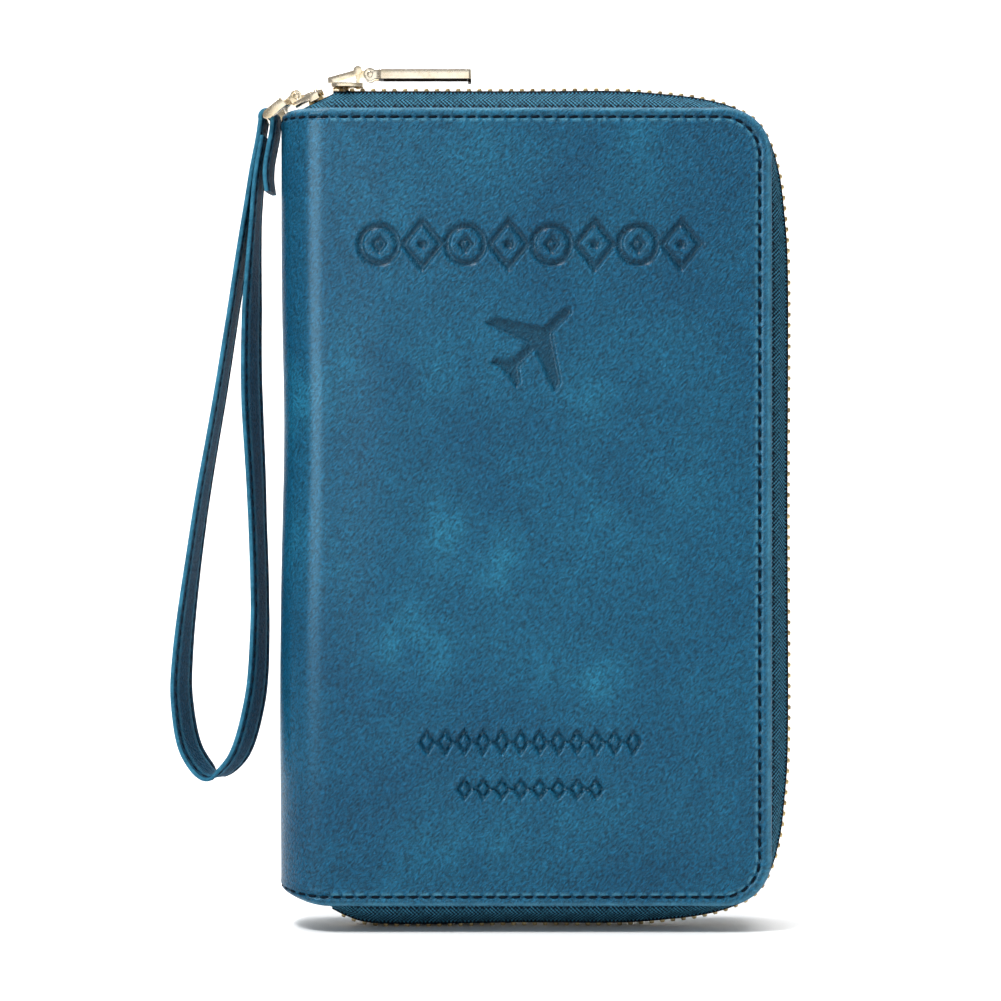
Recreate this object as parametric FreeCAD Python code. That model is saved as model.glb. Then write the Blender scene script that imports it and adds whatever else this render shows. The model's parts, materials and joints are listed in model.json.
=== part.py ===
import FreeCAD
import Part
import math
import os
from FreeCAD import Vector

# Zip-around passport wallet, closed and standing upright.
# X runs from the spine (-X) to the fore edge (+X), Z is up and the front cover faces -Y.
# The origin is the middle of the back cover's flat outer face. All sizes are millimetres.

# Covers
HEIGHT = 200.0
WIDTH = 123.0
THICKNESS = 25.0
COVER_CORNER = 12.0
LEATHER = 1.2
BOARD = 0.8
LINING = 0.4
LAYER_GAP = 0.1
BOARD_INSET = 6.0
LINING_INSET = 1.6

# Stitching
STITCH_PITCH = 3.2
STITCH_LENGTH = 2.2
STITCH_INSET = 2.4
STITCH_INSET_FORE = 3.2
THREAD_WIDTH = 0.4
THREAD_HEIGHT = 0.28
GROOVE_WIDTH = 0.8
GROOVE_DEPTH = 0.4

# Zip chain and tape
CHAIN_RISE = 5.2
CHAIN_RISE_FORE = 4.45
CHAIN_CORNER = 31.0
TOOTH_PITCH = 2.7
TOOTH_HEIGHT = 2.5
TOOTH_NECK = 1.2
TOOTH_HEAD = 1.6
TOOTH_TIP_GAP = 0.35
TOOTH_BASE = 3.0
TAPE = 1.0
TAPE_GAP = 0.1
CHAIN_TIP = 2.0
TOP_CHAIN_REACH = 6.7
BOTTOM_CHAIN_REACH = 4.4
TOP_TEETH_REACH = 4.5
BOTTOM_TEETH_REACH = 0.5
END_STOP_HALF_WIDTH = 2.6
SPINE_SEAM_DROP = 1.2
BOTTOM_BEND_X = -40.0
BOTTOM_RISE = 3.6

# Sliders
SLIDER_LENGTH = 8.0
WING = 1.0
WING_GAP = 0.3
SLIDER_TILT = 27.0
PULL_SLIDER_X = -45.5
STRAP_SLIDER_AT = (-54.4, 102.2)
PIN_RADIUS = 0.7
PIN_CLEARANCE = 0.05
STRAP_PIN_LOCAL = (2.6, 4.2)
PULL_PIN_LOCAL = (5.7, 5.1)
LUG_HALF_WIDTH = 0.9
CROWN_HALF_WIDTH = 1.7
CROWN_THICKNESS = 1.5
CHEEK_GAP = 0.1
CHEEK = 0.9
PULL_THICKNESS = 2.4
LONG_PULL = 25.8
LONG_PULL_WIDTH = 4.6
STRAP_PULL = 9.0
STRAP_PULL_DROP = 40.0
STRAP_PULL_WIDTH = 14.4
STRAP_BAR_RADIUS = 1.0

# Wrist strap
STRAP_WIDTH = 10.6
STRAP_THICKNESS = 1.2
STRAP_SAMPLES = 90

# Pockets
PASSPORT_WIDTH = 88.0
PASSPORT_PLAY = 2.4
PASSPORT_ROOM = 5.2
POCKET_SHEET = 0.8
POCKET_RIM = 1.8
PASSPORT_TOP = 20.0
POCKET_FOOT = -90.0
POCKET_FROM_FOLD = 4.0
CARD_ROOM = 1.0
CARD_SHEET = 0.5
CARD_RIM = 1.4
CARD_SIDES = (-41.0, 50.0)
CARD_FOOT = -48.0
CARD_TOP = 40.0
CARD_STEP = 18.0
TICKET_ROOM = 0.8
TICKET_RIGHT = 53.0
TICKET_FOOT = -92.0
TICKET_TOP = 70.0

# Places that follow from the sizes above
TOP_Z = HEIGHT / 2
FORE_X = WIDTH / 2
SPINE_RADIUS = THICKNESS / 2
FOLD_X = SPINE_RADIUS - FORE_X
MID_Y = -THICKNESS / 2
SEAM_X = FOLD_X + LAYER_GAP / 2
CROWN_SEAT = TOOTH_HEIGHT / 2 + WING_GAP + WING + 0.02
BOARD_Y = -LEATHER - LAYER_GAP
LINING_Y = BOARD_Y - BOARD - LAYER_GAP
INNER_Y = LINING_Y - LINING
CHAIN_Z = TOP_Z + CHAIN_RISE
CHAIN_X = FORE_X + CHAIN_RISE_FORE
SPINE_AXIS = Vector(FOLD_X, MID_Y, 0)
ALONG_X = Vector(1, 0, 0)
ALONG_Y = Vector(0, 1, 0)
ALONG_Z = Vector(0, 0, 1)


def line(start, end):
    return Part.LineSegment(start, end).toShape()


def face(edges):
    """Flat face from edges given in any order."""
    return Part.Face(Part.Wire(Part.__sortEdges__(edges)))


def polygon(points, direction):
    """Prism with a straight-sided outline, pushed along direction."""
    return Part.Face(Part.makePolygon(points + points[:1])).extrude(direction)


def side_prism(outline, y_low, y_high):
    """Prism across the depth from an (x, z) outline."""
    return polygon([Vector(x, y_low, z) for x, z in outline], ALONG_Y * (y_high - y_low))


def plan_prism(outline, z_low, z_high):
    """Prism upwards from an (x, y) outline."""
    return polygon([Vector(x, y, z_low) for x, y in outline], ALONG_Z * (z_high - z_low))


def block(x, y, z):
    """Box from three (low, high) pairs."""
    return Part.makeBox(x[1] - x[0], y[1] - y[0], z[1] - z[0], Vector(x[0], y[0], z[0]))


def pin(x, z, radius, half_width):
    """Cylinder along the depth, centred on y = 0."""
    return Part.makeCylinder(radius, 2 * half_width, Vector(x, -half_width, z), ALONG_Y)


def to_front(shape):
    """The same piece on the other cover."""
    return shape.mirror(Vector(0, MID_Y, 0), ALONG_Y)


def rim(right, half_height, radius, y, rise=0.0):
    """Bottom, fore edge and top of a rounded cover outline, in order, in the plane y.
    rise lifts the spine end of the bottom run above its level."""
    low = -half_height
    flat = right - radius
    diagonal = radius * math.sqrt(0.5)
    centre_low = Vector(flat, y, low + radius)
    centre_top = Vector(flat, y, half_height - radius)
    bend = Vector(BOTTOM_BEND_X, y, low)
    low_start = Vector(flat, y, low)
    low_end = Vector(right, y, low + radius)
    top_start = Vector(right, y, half_height - radius)
    top_end = Vector(flat, y, half_height)
    low_middle = centre_low + Vector(diagonal, 0, -diagonal)
    top_middle = centre_top + Vector(diagonal, 0, diagonal)
    return [
        line(Vector(SEAM_X, y, low + rise), bend),
        line(bend, low_start),
        Part.Arc(low_start, low_middle, low_end).toShape(),
        line(low_end, top_start),
        Part.Arc(top_start, top_middle, top_end).toShape(),
        line(top_end, Vector(SEAM_X, y, half_height)),
    ]


def ends(edges):
    return edges[0].firstVertex().Point, edges[-1].lastVertex().Point


def cover_rim(inset, y, inset_fore=None):
    fore = inset if inset_fore is None else inset_fore
    return rim(FORE_X - fore, TOP_Z - inset, COVER_CORNER - fore, y)


def chain_rim(offset, y):
    return rim(
        CHAIN_X + offset, CHAIN_Z + offset, CHAIN_CORNER + offset, y, rise=BOTTOM_RISE
    )


def band_wire(outer, inner):
    """Closed strip outline between two rims in the same plane."""
    outer_start, outer_end = ends(outer)
    inner_start, inner_end = ends(inner)
    caps = [line(outer_end, inner_end), line(outer_start, inner_start)]
    return Part.Wire(Part.__sortEdges__(outer + inner + caps))


def panel(inset, y_outer, thickness):
    """Flat cover layer with rounded fore-edge corners."""
    outline = cover_rim(inset, y_outer)
    start, end = ends(outline)
    return face(outline + [line(end, start)]).extrude(ALONG_Y * -thickness)


def stations(edges, spacing):
    """Evenly spaced (point, direction) pairs along connected edges."""
    wire = Part.Wire(Part.__sortEdges__(edges))
    count = int(wire.Length / spacing)
    points = wire.discretize(Number=count + 1)
    if (points[0] - ends(edges)[0]).Length > (points[-1] - ends(edges)[0]).Length:
        points.reverse()
    middles = [(a + b) * 0.5 for a, b in zip(points, points[1:])]
    directions = [(b - a).normalize() for a, b in zip(points, points[1:])]
    return list(zip(middles, directions))


def place(shape, point, direction):
    """Turns a piece built along +X to run along direction in the XZ plane, then moves it."""
    angle = -math.degrees(math.atan2(direction.z, direction.x))
    placed = shape.copy()
    placed.rotate(Vector(), ALONG_Y, angle)
    placed.translate(point)
    return placed


# Covers


def cover_leather():
    """Leather panel with the sewing groove pressed into its outer face."""
    half = GROOVE_WIDTH / 2
    outer = cover_rim(STITCH_INSET - half, 0, STITCH_INSET_FORE - half)
    inner = cover_rim(STITCH_INSET + half, 0, STITCH_INSET_FORE + half)
    groove = Part.Face(band_wire(outer, inner)).extrude(ALONG_Y * -GROOVE_DEPTH)
    return panel(0, 0, LEATHER).cut(groove)


def stitch():
    depth = (GROOVE_DEPTH + THREAD_HEIGHT) / 2
    return Part.makeBox(
        STITCH_LENGTH,
        THREAD_HEIGHT,
        THREAD_WIDTH,
        Vector(-STITCH_LENGTH / 2, -depth, -THREAD_WIDTH / 2),
    )


def cover_thread():
    seam = cover_rim(STITCH_INSET, 0, STITCH_INSET_FORE)
    return Part.Compound([place(stitch(), p, d) for p, d in stations(seam, STITCH_PITCH)])


def cover_tape():
    """Zip tape rising from the cover's edge to the chain at mid depth."""
    seam_y = BOARD_Y
    chain_y = MID_Y + TOOTH_BASE + TAPE_GAP
    foot = LAYER_GAP * 2
    seam = band_wire(cover_rim(foot, seam_y), cover_rim(foot + TAPE, seam_y))
    chain = band_wire(chain_rim(TAPE / 2, chain_y), chain_rim(-TAPE / 2, chain_y))
    return Part.makeLoft([seam, chain], True, True)


def tooth(side):
    """One zip tooth: a neck that grips the tape and a wider head that reaches mid depth."""
    half_neck = TOOTH_NECK / 2
    half_head = TOOTH_HEAD / 2
    shoulder = TOOTH_TIP_GAP + 0.45 * (TOOTH_BASE - TOOTH_TIP_GAP)
    half_tip = half_head - 0.25
    half_outline = [
        (half_neck, TOOTH_BASE),
        (half_neck, shoulder + half_neck / 2),
        (half_head, shoulder),
        (half_tip, TOOTH_TIP_GAP),
    ]
    mirrored = [(-x, y) for x, y in reversed(half_outline)]
    outline = [(x, side * y) for x, y in half_outline + mirrored]
    return plan_prism(outline, -TOOTH_HEIGHT / 2, TOOTH_HEIGHT / 2)


def cover_teeth(side):
    """One row of teeth round three sides. The two rows are half a pitch apart."""
    half_steps = stations(chain_rim(0, MID_Y), TOOTH_PITCH / 2)
    first = 1 if side > 0 else 2
    row = tooth(side)
    return Part.Compound([place(row, p, d) for p, d in half_steps[first:-1:2]])


# Spine


def half_tube(outer, inner, z_low, z_high):
    """Half ring on the spine's axis, on the side away from the covers."""
    base = Vector(FOLD_X, MID_Y, z_low)
    height = z_high - z_low
    solid = Part.makeCylinder(outer, height, base, ALONG_Z)
    solid = solid.cut(Part.makeCylinder(inner, height, base, ALONG_Z))
    keep = block(
        (FOLD_X - 2 * outer, FOLD_X - LAYER_GAP / 2),
        (MID_Y - 2 * outer, MID_Y + 2 * outer),
        (z_low - 1, z_high + 1),
    )
    return solid.common(keep)


def spine_leather():
    shell = half_tube(SPINE_RADIUS, SPINE_RADIUS - LEATHER, -TOP_Z, TOP_Z)
    for sign in (-1, 1):
        seam_z = sign * (TOP_Z - STITCH_INSET)
        low, high = seam_z - GROOVE_WIDTH / 2, seam_z + GROOVE_WIDTH / 2
        shell = shell.cut(half_tube(SPINE_RADIUS + 1, SPINE_RADIUS - GROOVE_DEPTH, low, high))
    return shell


def spine_layer(depth, thickness, inset):
    outer = SPINE_RADIUS - depth
    return half_tube(outer, outer - thickness, inset - TOP_Z, TOP_Z - inset)


def spine_thread():
    """Stitches round the spine at the top and the bottom seam."""
    radius = SPINE_RADIUS - (GROOVE_DEPTH - THREAD_HEIGHT) / 2 - THREAD_HEIGHT / 2
    count = int(math.pi * radius / STITCH_PITCH)
    stitches = []
    for sign in (-1, 1):
        for index in range(count):
            angle = 90 + 180 * (index + 0.5) / count
            thread = Part.makeBox(
                THREAD_HEIGHT,
                STITCH_LENGTH,
                THREAD_WIDTH,
                Vector(radius - THREAD_HEIGHT / 2, -STITCH_LENGTH / 2, -THREAD_WIDTH / 2),
            )
            thread.rotate(Vector(), ALONG_Z, angle)
            thread.translate(SPINE_AXIS + ALONG_Z * (sign * (TOP_Z - STITCH_INSET)))
            stitches.append(thread)
    return Part.Compound(stitches)


def slope_point(x, y, start, slope):
    """Point over (x, y) on the sloping plane that passes start = (x, z)."""
    return Vector(x, y, start[1] + slope * (x - start[0]))


def spine_arch(radius, z):
    """Half circle inside the spine as three equal arcs."""
    def at(angle):
        turn = math.radians(angle)
        return Vector(SEAM_X - LAYER_GAP + radius * math.cos(turn), MID_Y + radius * math.sin(turn), z)

    steps = [90 + 30 * i for i in range(7)]
    return [
        Part.Arc(at(a), at(b), at(c)).toShape()
        for a, b, c in zip(steps[0:5:2], steps[1:6:2], steps[2:7:2])
    ]


def chain_end(half_width, reach, start, slope):
    """Two sides and the rounded tip round the end of the chain, on the sloping plane."""
    def at(x, y):
        return slope_point(x, MID_Y + y, start, slope)

    left = SEAM_X - LAYER_GAP
    tip = left - reach
    turns = [math.radians(90 + 22.5 * i) for i in range(9)]
    curve = Part.BSplineCurve()
    curve.interpolate(
        [at(tip + CHAIN_TIP * math.cos(t), half_width * math.sin(t)) for t in turns]
    )
    return [
        line(at(left, half_width), at(tip, half_width)),
        curve.toShape(),
        line(at(tip, -half_width), at(left, -half_width)),
    ]


def closed(edges):
    """Closed wire from connected edges and the line that joins their ends."""
    start, end = ends(edges)
    return Part.Wire(Part.__sortEdges__(edges + [line(end, start)]))


def spine_tape(reach, start, slope, seam_z):
    """Tape end: a hood from the inside of the spine up to the sloping end of the chain,
    open where the chain runs."""
    seam = closed(spine_arch(SPINE_RADIUS - LEATHER - LAYER_GAP, seam_z))
    mouth = closed(chain_end(TOOTH_BASE + TAPE_GAP, reach, start, slope))
    full = Part.makeLoft([seam, mouth], True, True)
    hollow = full.copy()
    hollow.translate(ALONG_Z * math.copysign(TAPE, -seam_z))
    throat = Part.Face(mouth).extrude(ALONG_Z * THICKNESS)
    throat.translate(ALONG_Z * (-THICKNESS / 2))
    return full.cut(hollow).cut(throat)


def spine_teeth_row(start, slope, reach):
    """The last teeth at one end of the chain, both rows."""
    left = SEAM_X - LAYER_GAP - TOOTH_HEAD
    direction = Vector(1, 0, slope).normalize()
    step = TOOTH_PITCH * direction.x
    rows = []
    for side, shift in ((1, 0.0), (-1, 0.5)):
        count = math.floor(reach / step - shift) + 1
        for index in range(count):
            x = left - (index + shift) * step
            rows.append(place(tooth(side), slope_point(x, MID_Y, start, slope), direction))
    return rows


def zip_end_stop():
    """Small stop across the chain's lower end, inside the spine."""
    depth = (MID_Y - END_STOP_HALF_WIDTH, MID_Y + END_STOP_HALF_WIDTH)
    return block((FOLD_X - 4.7, FOLD_X - 3.8), depth, (-1.1 - TOP_Z, 1.3 - TOP_Z))


# Sliders and pulls


def slider_body(flange_sides):
    """Two wings joined by a thin web at the nose. The tail, on +X, carries the pull.
    Flanges hang from the top wing on the sides asked for (1 is the back, -1 the front)."""
    half = SLIDER_LENGTH / 2
    inner = TOOTH_HEIGHT / 2 + WING_GAP
    shoulder, tail = 4.5, 3.6
    side = [(-half, tail - 0.6), (-half + 1.4, shoulder), (0, shoulder), (half, tail)]
    plan = side + [(x, -y) for x, y in reversed(side)]
    body = plan_prism(plan, inner, inner + WING)
    body = body.fuse(plan_prism(plan, -inner - WING, -inner))
    web = block((-half + 0.2, -half + 2.4), (-0.25, 0.25), (-inner - 0.5, inner + 0.5))
    body = body.fuse(web)
    for flange_side in flange_sides:
        depth = sorted((flange_side * 3.6, flange_side * shoulder))
        body = body.fuse(block((-half + 1.5, 0), depth, (0.5, inner + 0.5)))
    return body.removeSplitter()


def crown():
    """Arch that rises over the top wing towards the tail, with a lug for the long pull's pin."""
    x0, z0 = -4.9, 2.7
    x1, z1 = 2.4, 6.3
    across = (-CROWN_HALF_WIDTH, CROWN_HALF_WIDTH)
    arch = side_prism(
        [(x0, z0), (x1, z1 - CROWN_THICKNESS), (x1, z1), (x0 - 0.2, z0 + CROWN_THICKNESS)], *across
    )
    foot = block((-3.8, -2.6), across, (CROWN_SEAT, z0 + CROWN_THICKNESS))
    leg = block((x1 - 0.2, x1 + 0.7), across, (CROWN_SEAT, z1 - 0.2))
    px, pz = PULL_PIN_LOCAL
    neck = side_prism(
        [(x1 - 0.4, z1), (x1 - 0.4, z1 - 1.8), (px, pz - 1.0), (px, pz + 1.0)],
        -LUG_HALF_WIDTH,
        LUG_HALF_WIDTH,
    )
    knuckle = pin(x1 + 0.2, z1 - 0.2, 1.1, 1.9)
    lug = pin(px, pz, 1.5, LUG_HALF_WIDTH)
    whole = arch.fuse([foot, leg, neck, knuckle, lug])
    hole = pin(px, pz, PIN_RADIUS + PIN_CLEARANCE, LUG_HALF_WIDTH + 1)
    return whole.cut(hole).removeSplitter()


def low_crown():
    """Flat crown of the strap slider: a raised bar with the pin's lug at its tail end."""
    low, high = CROWN_SEAT, CROWN_SEAT + 1.0
    px, pz = STRAP_PIN_LOCAL
    bar = side_prism([(-3.4, low), (-2.8, high), (px - 1.7, high), (px - 1.7, low)], -1.5, 1.5)
    neck = side_prism(
        [(px - 2.2, low), (px - 2.2, high), (px, pz + 0.9), (px, low)],
        -LUG_HALF_WIDTH,
        LUG_HALF_WIDTH,
    )
    lug = pin(px, pz, 1.3, LUG_HALF_WIDTH)
    whole = bar.fuse([neck, lug])
    hole = pin(px, pz, PIN_RADIUS + PIN_CLEARANCE, LUG_HALF_WIDTH + 1)
    return whole.cut(hole).removeSplitter()


def cheeks(radius, reach):
    """Two cheeks of a pull, one each side of the lug, with the pin's hole."""
    inner = LUG_HALF_WIDTH + CHEEK_GAP
    outer = inner + CHEEK
    both = []
    for sign in (-1, 1):
        low, high = sorted((sign * inner, sign * outer))
        disc = Part.makeCylinder(radius, CHEEK, Vector(0, low, 0), ALONG_Y)
        arm = block((0, reach), (low, high), (-radius * 0.7, radius * 0.7))
        both.append(disc.fuse(arm))
    hole = pin(0, 0, PIN_RADIUS + PIN_CLEARANCE / 2, outer + 1)
    return both[0].fuse(both[1]).cut(hole)


def pull_pin():
    return pin(0, 0, PIN_RADIUS, LUG_HALF_WIDTH + CHEEK_GAP + CHEEK)


def long_pull():
    """Bar pull along +X with a hollow underside and a small lip at its free end."""
    half_width = LONG_PULL_WIDTH / 2
    half = PULL_THICKNESS / 2
    start = 2.2
    bar = block((start, LONG_PULL), (-half_width, half_width), (-half, half))
    bar = bar.makeFillet(0.7, [e for e in bar.Edges if e.BoundBox.ZLength > half])
    hollow = block(
        (start + 1.2, LONG_PULL - 1.0), (0.7 - half_width, half_width - 0.7), (-half - 1, -0.1)
    )
    lip = block((LONG_PULL - 0.8, LONG_PULL), (-1.5, 1.5), (-half - 0.8, 0))
    return bar.cut(hollow).fuse([lip, cheeks(1.6, start + 0.4)]).removeSplitter()


def strap_pull():
    """Trapezoid frame along +X. The strap goes round its far bar."""
    half_width = STRAP_PULL_WIDTH / 2
    half = PULL_THICKNESS / 2
    side = [(2.0, 1.9), (3.6, half_width), (STRAP_PULL, half_width)]
    plan = side + [(x, -y) for x, y in reversed(side)]
    frame = plan_prism(plan, -half, half)
    inside = half_width - 1.3
    window = block((4.8, STRAP_PULL + 1), (-inside, inside), (-half - 1, half + 1))
    bar = pin(STRAP_PULL, 0, STRAP_BAR_RADIUS, half_width)
    return frame.cut(window).fuse([bar, cheeks(1.5, 2.4)]).removeSplitter()


# Wrist strap


def strap_centre():
    """Middle line of the strap at rest: a long drop hung from the pull's far bar."""
    bar_x, bar_z = strap_bar_at()
    drop = [
        (-2.5, -5.0), (-7.0, -34.5), (-12.4, -69.0), (-18.0, -102.3), (-22.2, -136.7), (-22.5, -148.7),
        (-19.4, -162.0), (-14.1, -167.3), (-8.4, -163.4), (-4.0, -149.7), (-2.5, -131.0), (-3.5, -96.3),
        (-4.6, -66.6), (-4.3, -42.6), (-2.8, -15.6), (-1.2, -5.2),
    ]
    curve = Part.BSplineCurve()
    curve.interpolate([Vector(bar_x + dx, 0, bar_z + dz) for dx, dz in drop])
    return curve


def strap_side(curve, offset):
    """Curve beside the strap's middle line."""
    first, last = curve.FirstParameter, curve.LastParameter
    points = []
    for index in range(STRAP_SAMPLES + 1):
        at = first + (last - first) * index / STRAP_SAMPLES
        tangent = curve.tangent(at)[0]
        points.append(curve.value(at) + Vector(-tangent.z, 0, tangent.x) * offset)
    side = Part.BSplineCurve()
    side.interpolate(points)
    return side.toShape()


def strap_bar_at():
    """Centre of the strap pull's far bar at rest, as (x, z)."""
    x, z = strap_pin_at()
    drop = math.radians(STRAP_PULL_DROP)
    return x - STRAP_PULL * math.cos(drop), z - STRAP_PULL * math.sin(drop)


def strap_loop():
    """Strap band, the sewn head where its two ends meet and the eye round the pull's bar."""
    bar_x, bar_z = strap_bar_at()
    half = STRAP_THICKNESS / 2
    middle = strap_centre()
    outside = strap_side(middle, -half)
    inside = strap_side(middle, half)
    caps = [
        line(outside.firstVertex().Point, inside.firstVertex().Point),
        line(outside.lastVertex().Point, inside.lastVertex().Point),
    ]
    width = ALONG_Y * STRAP_WIDTH
    low = MID_Y - STRAP_WIDTH / 2
    band = face([outside, inside] + caps).extrude(width)
    band.translate(ALONG_Y * low)
    eye_outer = STRAP_BAR_RADIUS + LAYER_GAP + STRAP_THICKNESS
    eye = pin(bar_x, bar_z, eye_outer, STRAP_WIDTH / 2)
    eye.translate(ALONG_Y * MID_Y)
    head = [(-1.9, -1.2), (-0.3, -1.2), (-0.9, -5.0), (-1.6, -12.0), (-3.2, -22.0), (-4.6, -22.0)]
    head = side_prism([(bar_x + dx, bar_z + dz) for dx, dz in head], low, low + STRAP_WIDTH)
    hole = pin(bar_x, bar_z, STRAP_BAR_RADIUS + LAYER_GAP, STRAP_WIDTH)
    hole.translate(ALONG_Y * MID_Y)
    return band.fuse([head, eye]).cut(hole).removeSplitter()


def strap_tail():
    """Folded end of the strap, lying against the head on the wallet's side."""
    bar_x, bar_z = strap_bar_at()
    near = [(1.9, -2.7), (0.25, -11.5), (0.35, -18.8)]
    far = [(-0.8, -18.8), (-0.9, -11.5), (0.8, -2.7)]
    outline = [(bar_x + dx, bar_z + dz) for dx, dz in near + far]
    return side_prism(outline, MID_Y - STRAP_WIDTH / 2, MID_Y + STRAP_WIDTH / 2)


# Pockets


def pocket(x, z, y_wall, room, sheet, rim_width):
    """Sheet held off the wall behind it by a rim on three sides, open at the top."""
    front = y_wall - room - sheet
    outside = block(x, (front, y_wall), z)
    inside = block(
        (x[0] + rim_width, x[1] - rim_width),
        (y_wall - room, y_wall + 1),
        (z[0] + rim_width, z[1] + 1),
    )
    return outside.cut(inside)


def passport_pocket():
    """Pocket on the front cover with room for a passport to slide in from above."""
    left = FOLD_X + POCKET_FROM_FOLD
    right = left + PASSPORT_WIDTH + PASSPORT_PLAY + 2 * POCKET_RIM
    heights = (POCKET_FOOT, PASSPORT_TOP)
    wall = INNER_Y - LAYER_GAP
    return to_front(pocket((left, right), heights, wall, PASSPORT_ROOM, POCKET_SHEET, POCKET_RIM))


def ticket_pocket():
    """Slip pocket across the back cover, behind the card slots."""
    sides = (FOLD_X + POCKET_FROM_FOLD, TICKET_RIGHT)
    heights = (TICKET_FOOT, TICKET_TOP)
    return pocket(sides, heights, INNER_Y - LAYER_GAP, TICKET_ROOM, CARD_SHEET, POCKET_RIM)


def card_slot(index):
    """One step of the card slots. Each later step lies on the one before and stands lower."""
    step = CARD_ROOM + CARD_SHEET + LAYER_GAP
    wall = INNER_Y - LAYER_GAP - TICKET_ROOM - CARD_SHEET - LAYER_GAP - index * step
    heights = (CARD_FOOT, CARD_TOP - CARD_STEP * index)
    return pocket(CARD_SIDES, heights, wall, CARD_ROOM, CARD_SHEET, CARD_RIM)


# Places of the moving hardware


def strap_slider_place(shape):
    """Strap slider pieces are built like the other slider's, then mirrored and tilted."""
    placed = shape.mirror(Vector(), ALONG_X)
    placed.rotate(Vector(), ALONG_Y, -SLIDER_TILT)
    placed.translate(Vector(STRAP_SLIDER_AT[0], MID_Y, STRAP_SLIDER_AT[1]))
    return placed


def strap_pin_at():
    """Centre of the strap pull's pin, as (x, z)."""
    tilt = math.radians(SLIDER_TILT)
    x, z = -STRAP_PIN_LOCAL[0], STRAP_PIN_LOCAL[1]
    return (
        STRAP_SLIDER_AT[0] + x * math.cos(tilt) - z * math.sin(tilt),
        STRAP_SLIDER_AT[1] + x * math.sin(tilt) + z * math.cos(tilt),
    )


def pull_pin_at():
    """Centre of the long pull's pin, as (x, z)."""
    return PULL_SLIDER_X + PULL_PIN_LOCAL[0], CHAIN_Z + PULL_PIN_LOCAL[1]


def at_strap_pin(shape):
    """Swings a pull built along +X down to the left of the strap slider's pin."""
    x, z = strap_pin_at()
    placed = shape.copy()
    placed.rotate(Vector(), ALONG_Y, 180 - STRAP_PULL_DROP)
    placed.translate(Vector(x, MID_Y, z))
    return placed


def at_pull_pin(shape):
    x, z = pull_pin_at()
    placed = shape.copy()
    placed.translate(Vector(x, MID_Y, z))
    return placed


def on_pull_slider(shape):
    placed = shape.copy()
    placed.translate(Vector(PULL_SLIDER_X, MID_Y, CHAIN_Z))
    return placed


# Pieces by node name


def cover_pieces():
    """The layers of both covers. The back one is built and the front one mirrors it."""
    pieces = {
        "back_leather": cover_leather(),
        "back_board": panel(BOARD_INSET, BOARD_Y, BOARD),
        "back_lining": panel(LINING_INSET, LINING_Y, LINING),
        "back_thread": cover_thread(),
        "back_tape": cover_tape(),
    }
    for name in list(pieces):
        pieces[name.replace("back", "front")] = to_front(pieces[name])
    pieces["back_teeth"] = cover_teeth(1)
    pieces["front_teeth"] = cover_teeth(-1)
    return pieces


def spine_pieces():
    """The half-round spine and the zip's two sloping ends."""
    top_slope = math.tan(math.radians(SLIDER_TILT))
    top_end = STRAP_SLIDER_AT
    bottom_slope = -BOTTOM_RISE / (BOTTOM_BEND_X - FOLD_X)
    bottom_end = (FOLD_X, BOTTOM_RISE - CHAIN_Z)
    seam_z = TOP_Z - SPINE_SEAM_DROP
    top_teeth = spine_teeth_row(top_end, top_slope, TOP_TEETH_REACH)
    bottom_teeth = spine_teeth_row(bottom_end, bottom_slope, BOTTOM_TEETH_REACH)
    return {
        "spine_leather": spine_leather(),
        "spine_board": spine_layer(LEATHER + LAYER_GAP, BOARD, BOARD_INSET),
        "spine_lining": spine_layer(LEATHER + BOARD + 2 * LAYER_GAP, LINING, LINING_INSET),
        "spine_thread": spine_thread(),
        "spine_tape_top": spine_tape(TOP_CHAIN_REACH, top_end, top_slope, seam_z),
        "spine_tape_bottom": spine_tape(BOTTOM_CHAIN_REACH, bottom_end, bottom_slope, -seam_z),
        "spine_teeth": Part.Compound(top_teeth + bottom_teeth),
        "zip_end_stop": zip_end_stop(),
    }


def pocket_pieces():
    """Pockets inside both covers."""
    pieces = {"ticket_pocket": ticket_pocket(), "passport_pocket": passport_pocket()}
    for index, level in enumerate(("top", "middle", "bottom")):
        pieces["card_slot_" + level] = card_slot(index)
    return pieces


def hardware_pieces():
    """Both sliders with their pulls, and the wrist strap."""
    return {
        "pull_slider": on_pull_slider(slider_body([1])),
        "pull_slider_crown": on_pull_slider(crown()),
        "long_pull": at_pull_pin(long_pull()),
        "long_pull_pin": at_pull_pin(pull_pin()),
        "strap_slider": strap_slider_place(slider_body([1, -1])),
        "strap_slider_crown": strap_slider_place(low_crown()),
        "strap_pull": at_strap_pin(strap_pull()),
        "strap_pull_pin": at_strap_pin(pull_pin()),
        "strap_loop": strap_loop(),
        "strap_tail": strap_tail(),
    }


def build():
    """Every piece of the wallet by its node name."""
    return {**cover_pieces(), **spine_pieces(), **pocket_pieces(), **hardware_pieces()}


os.makedirs("parts", exist_ok=True)
for node, shape in build().items():
    shape.exportStep(os.path.join("parts", node + ".step"))
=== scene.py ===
import json
import math

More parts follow.
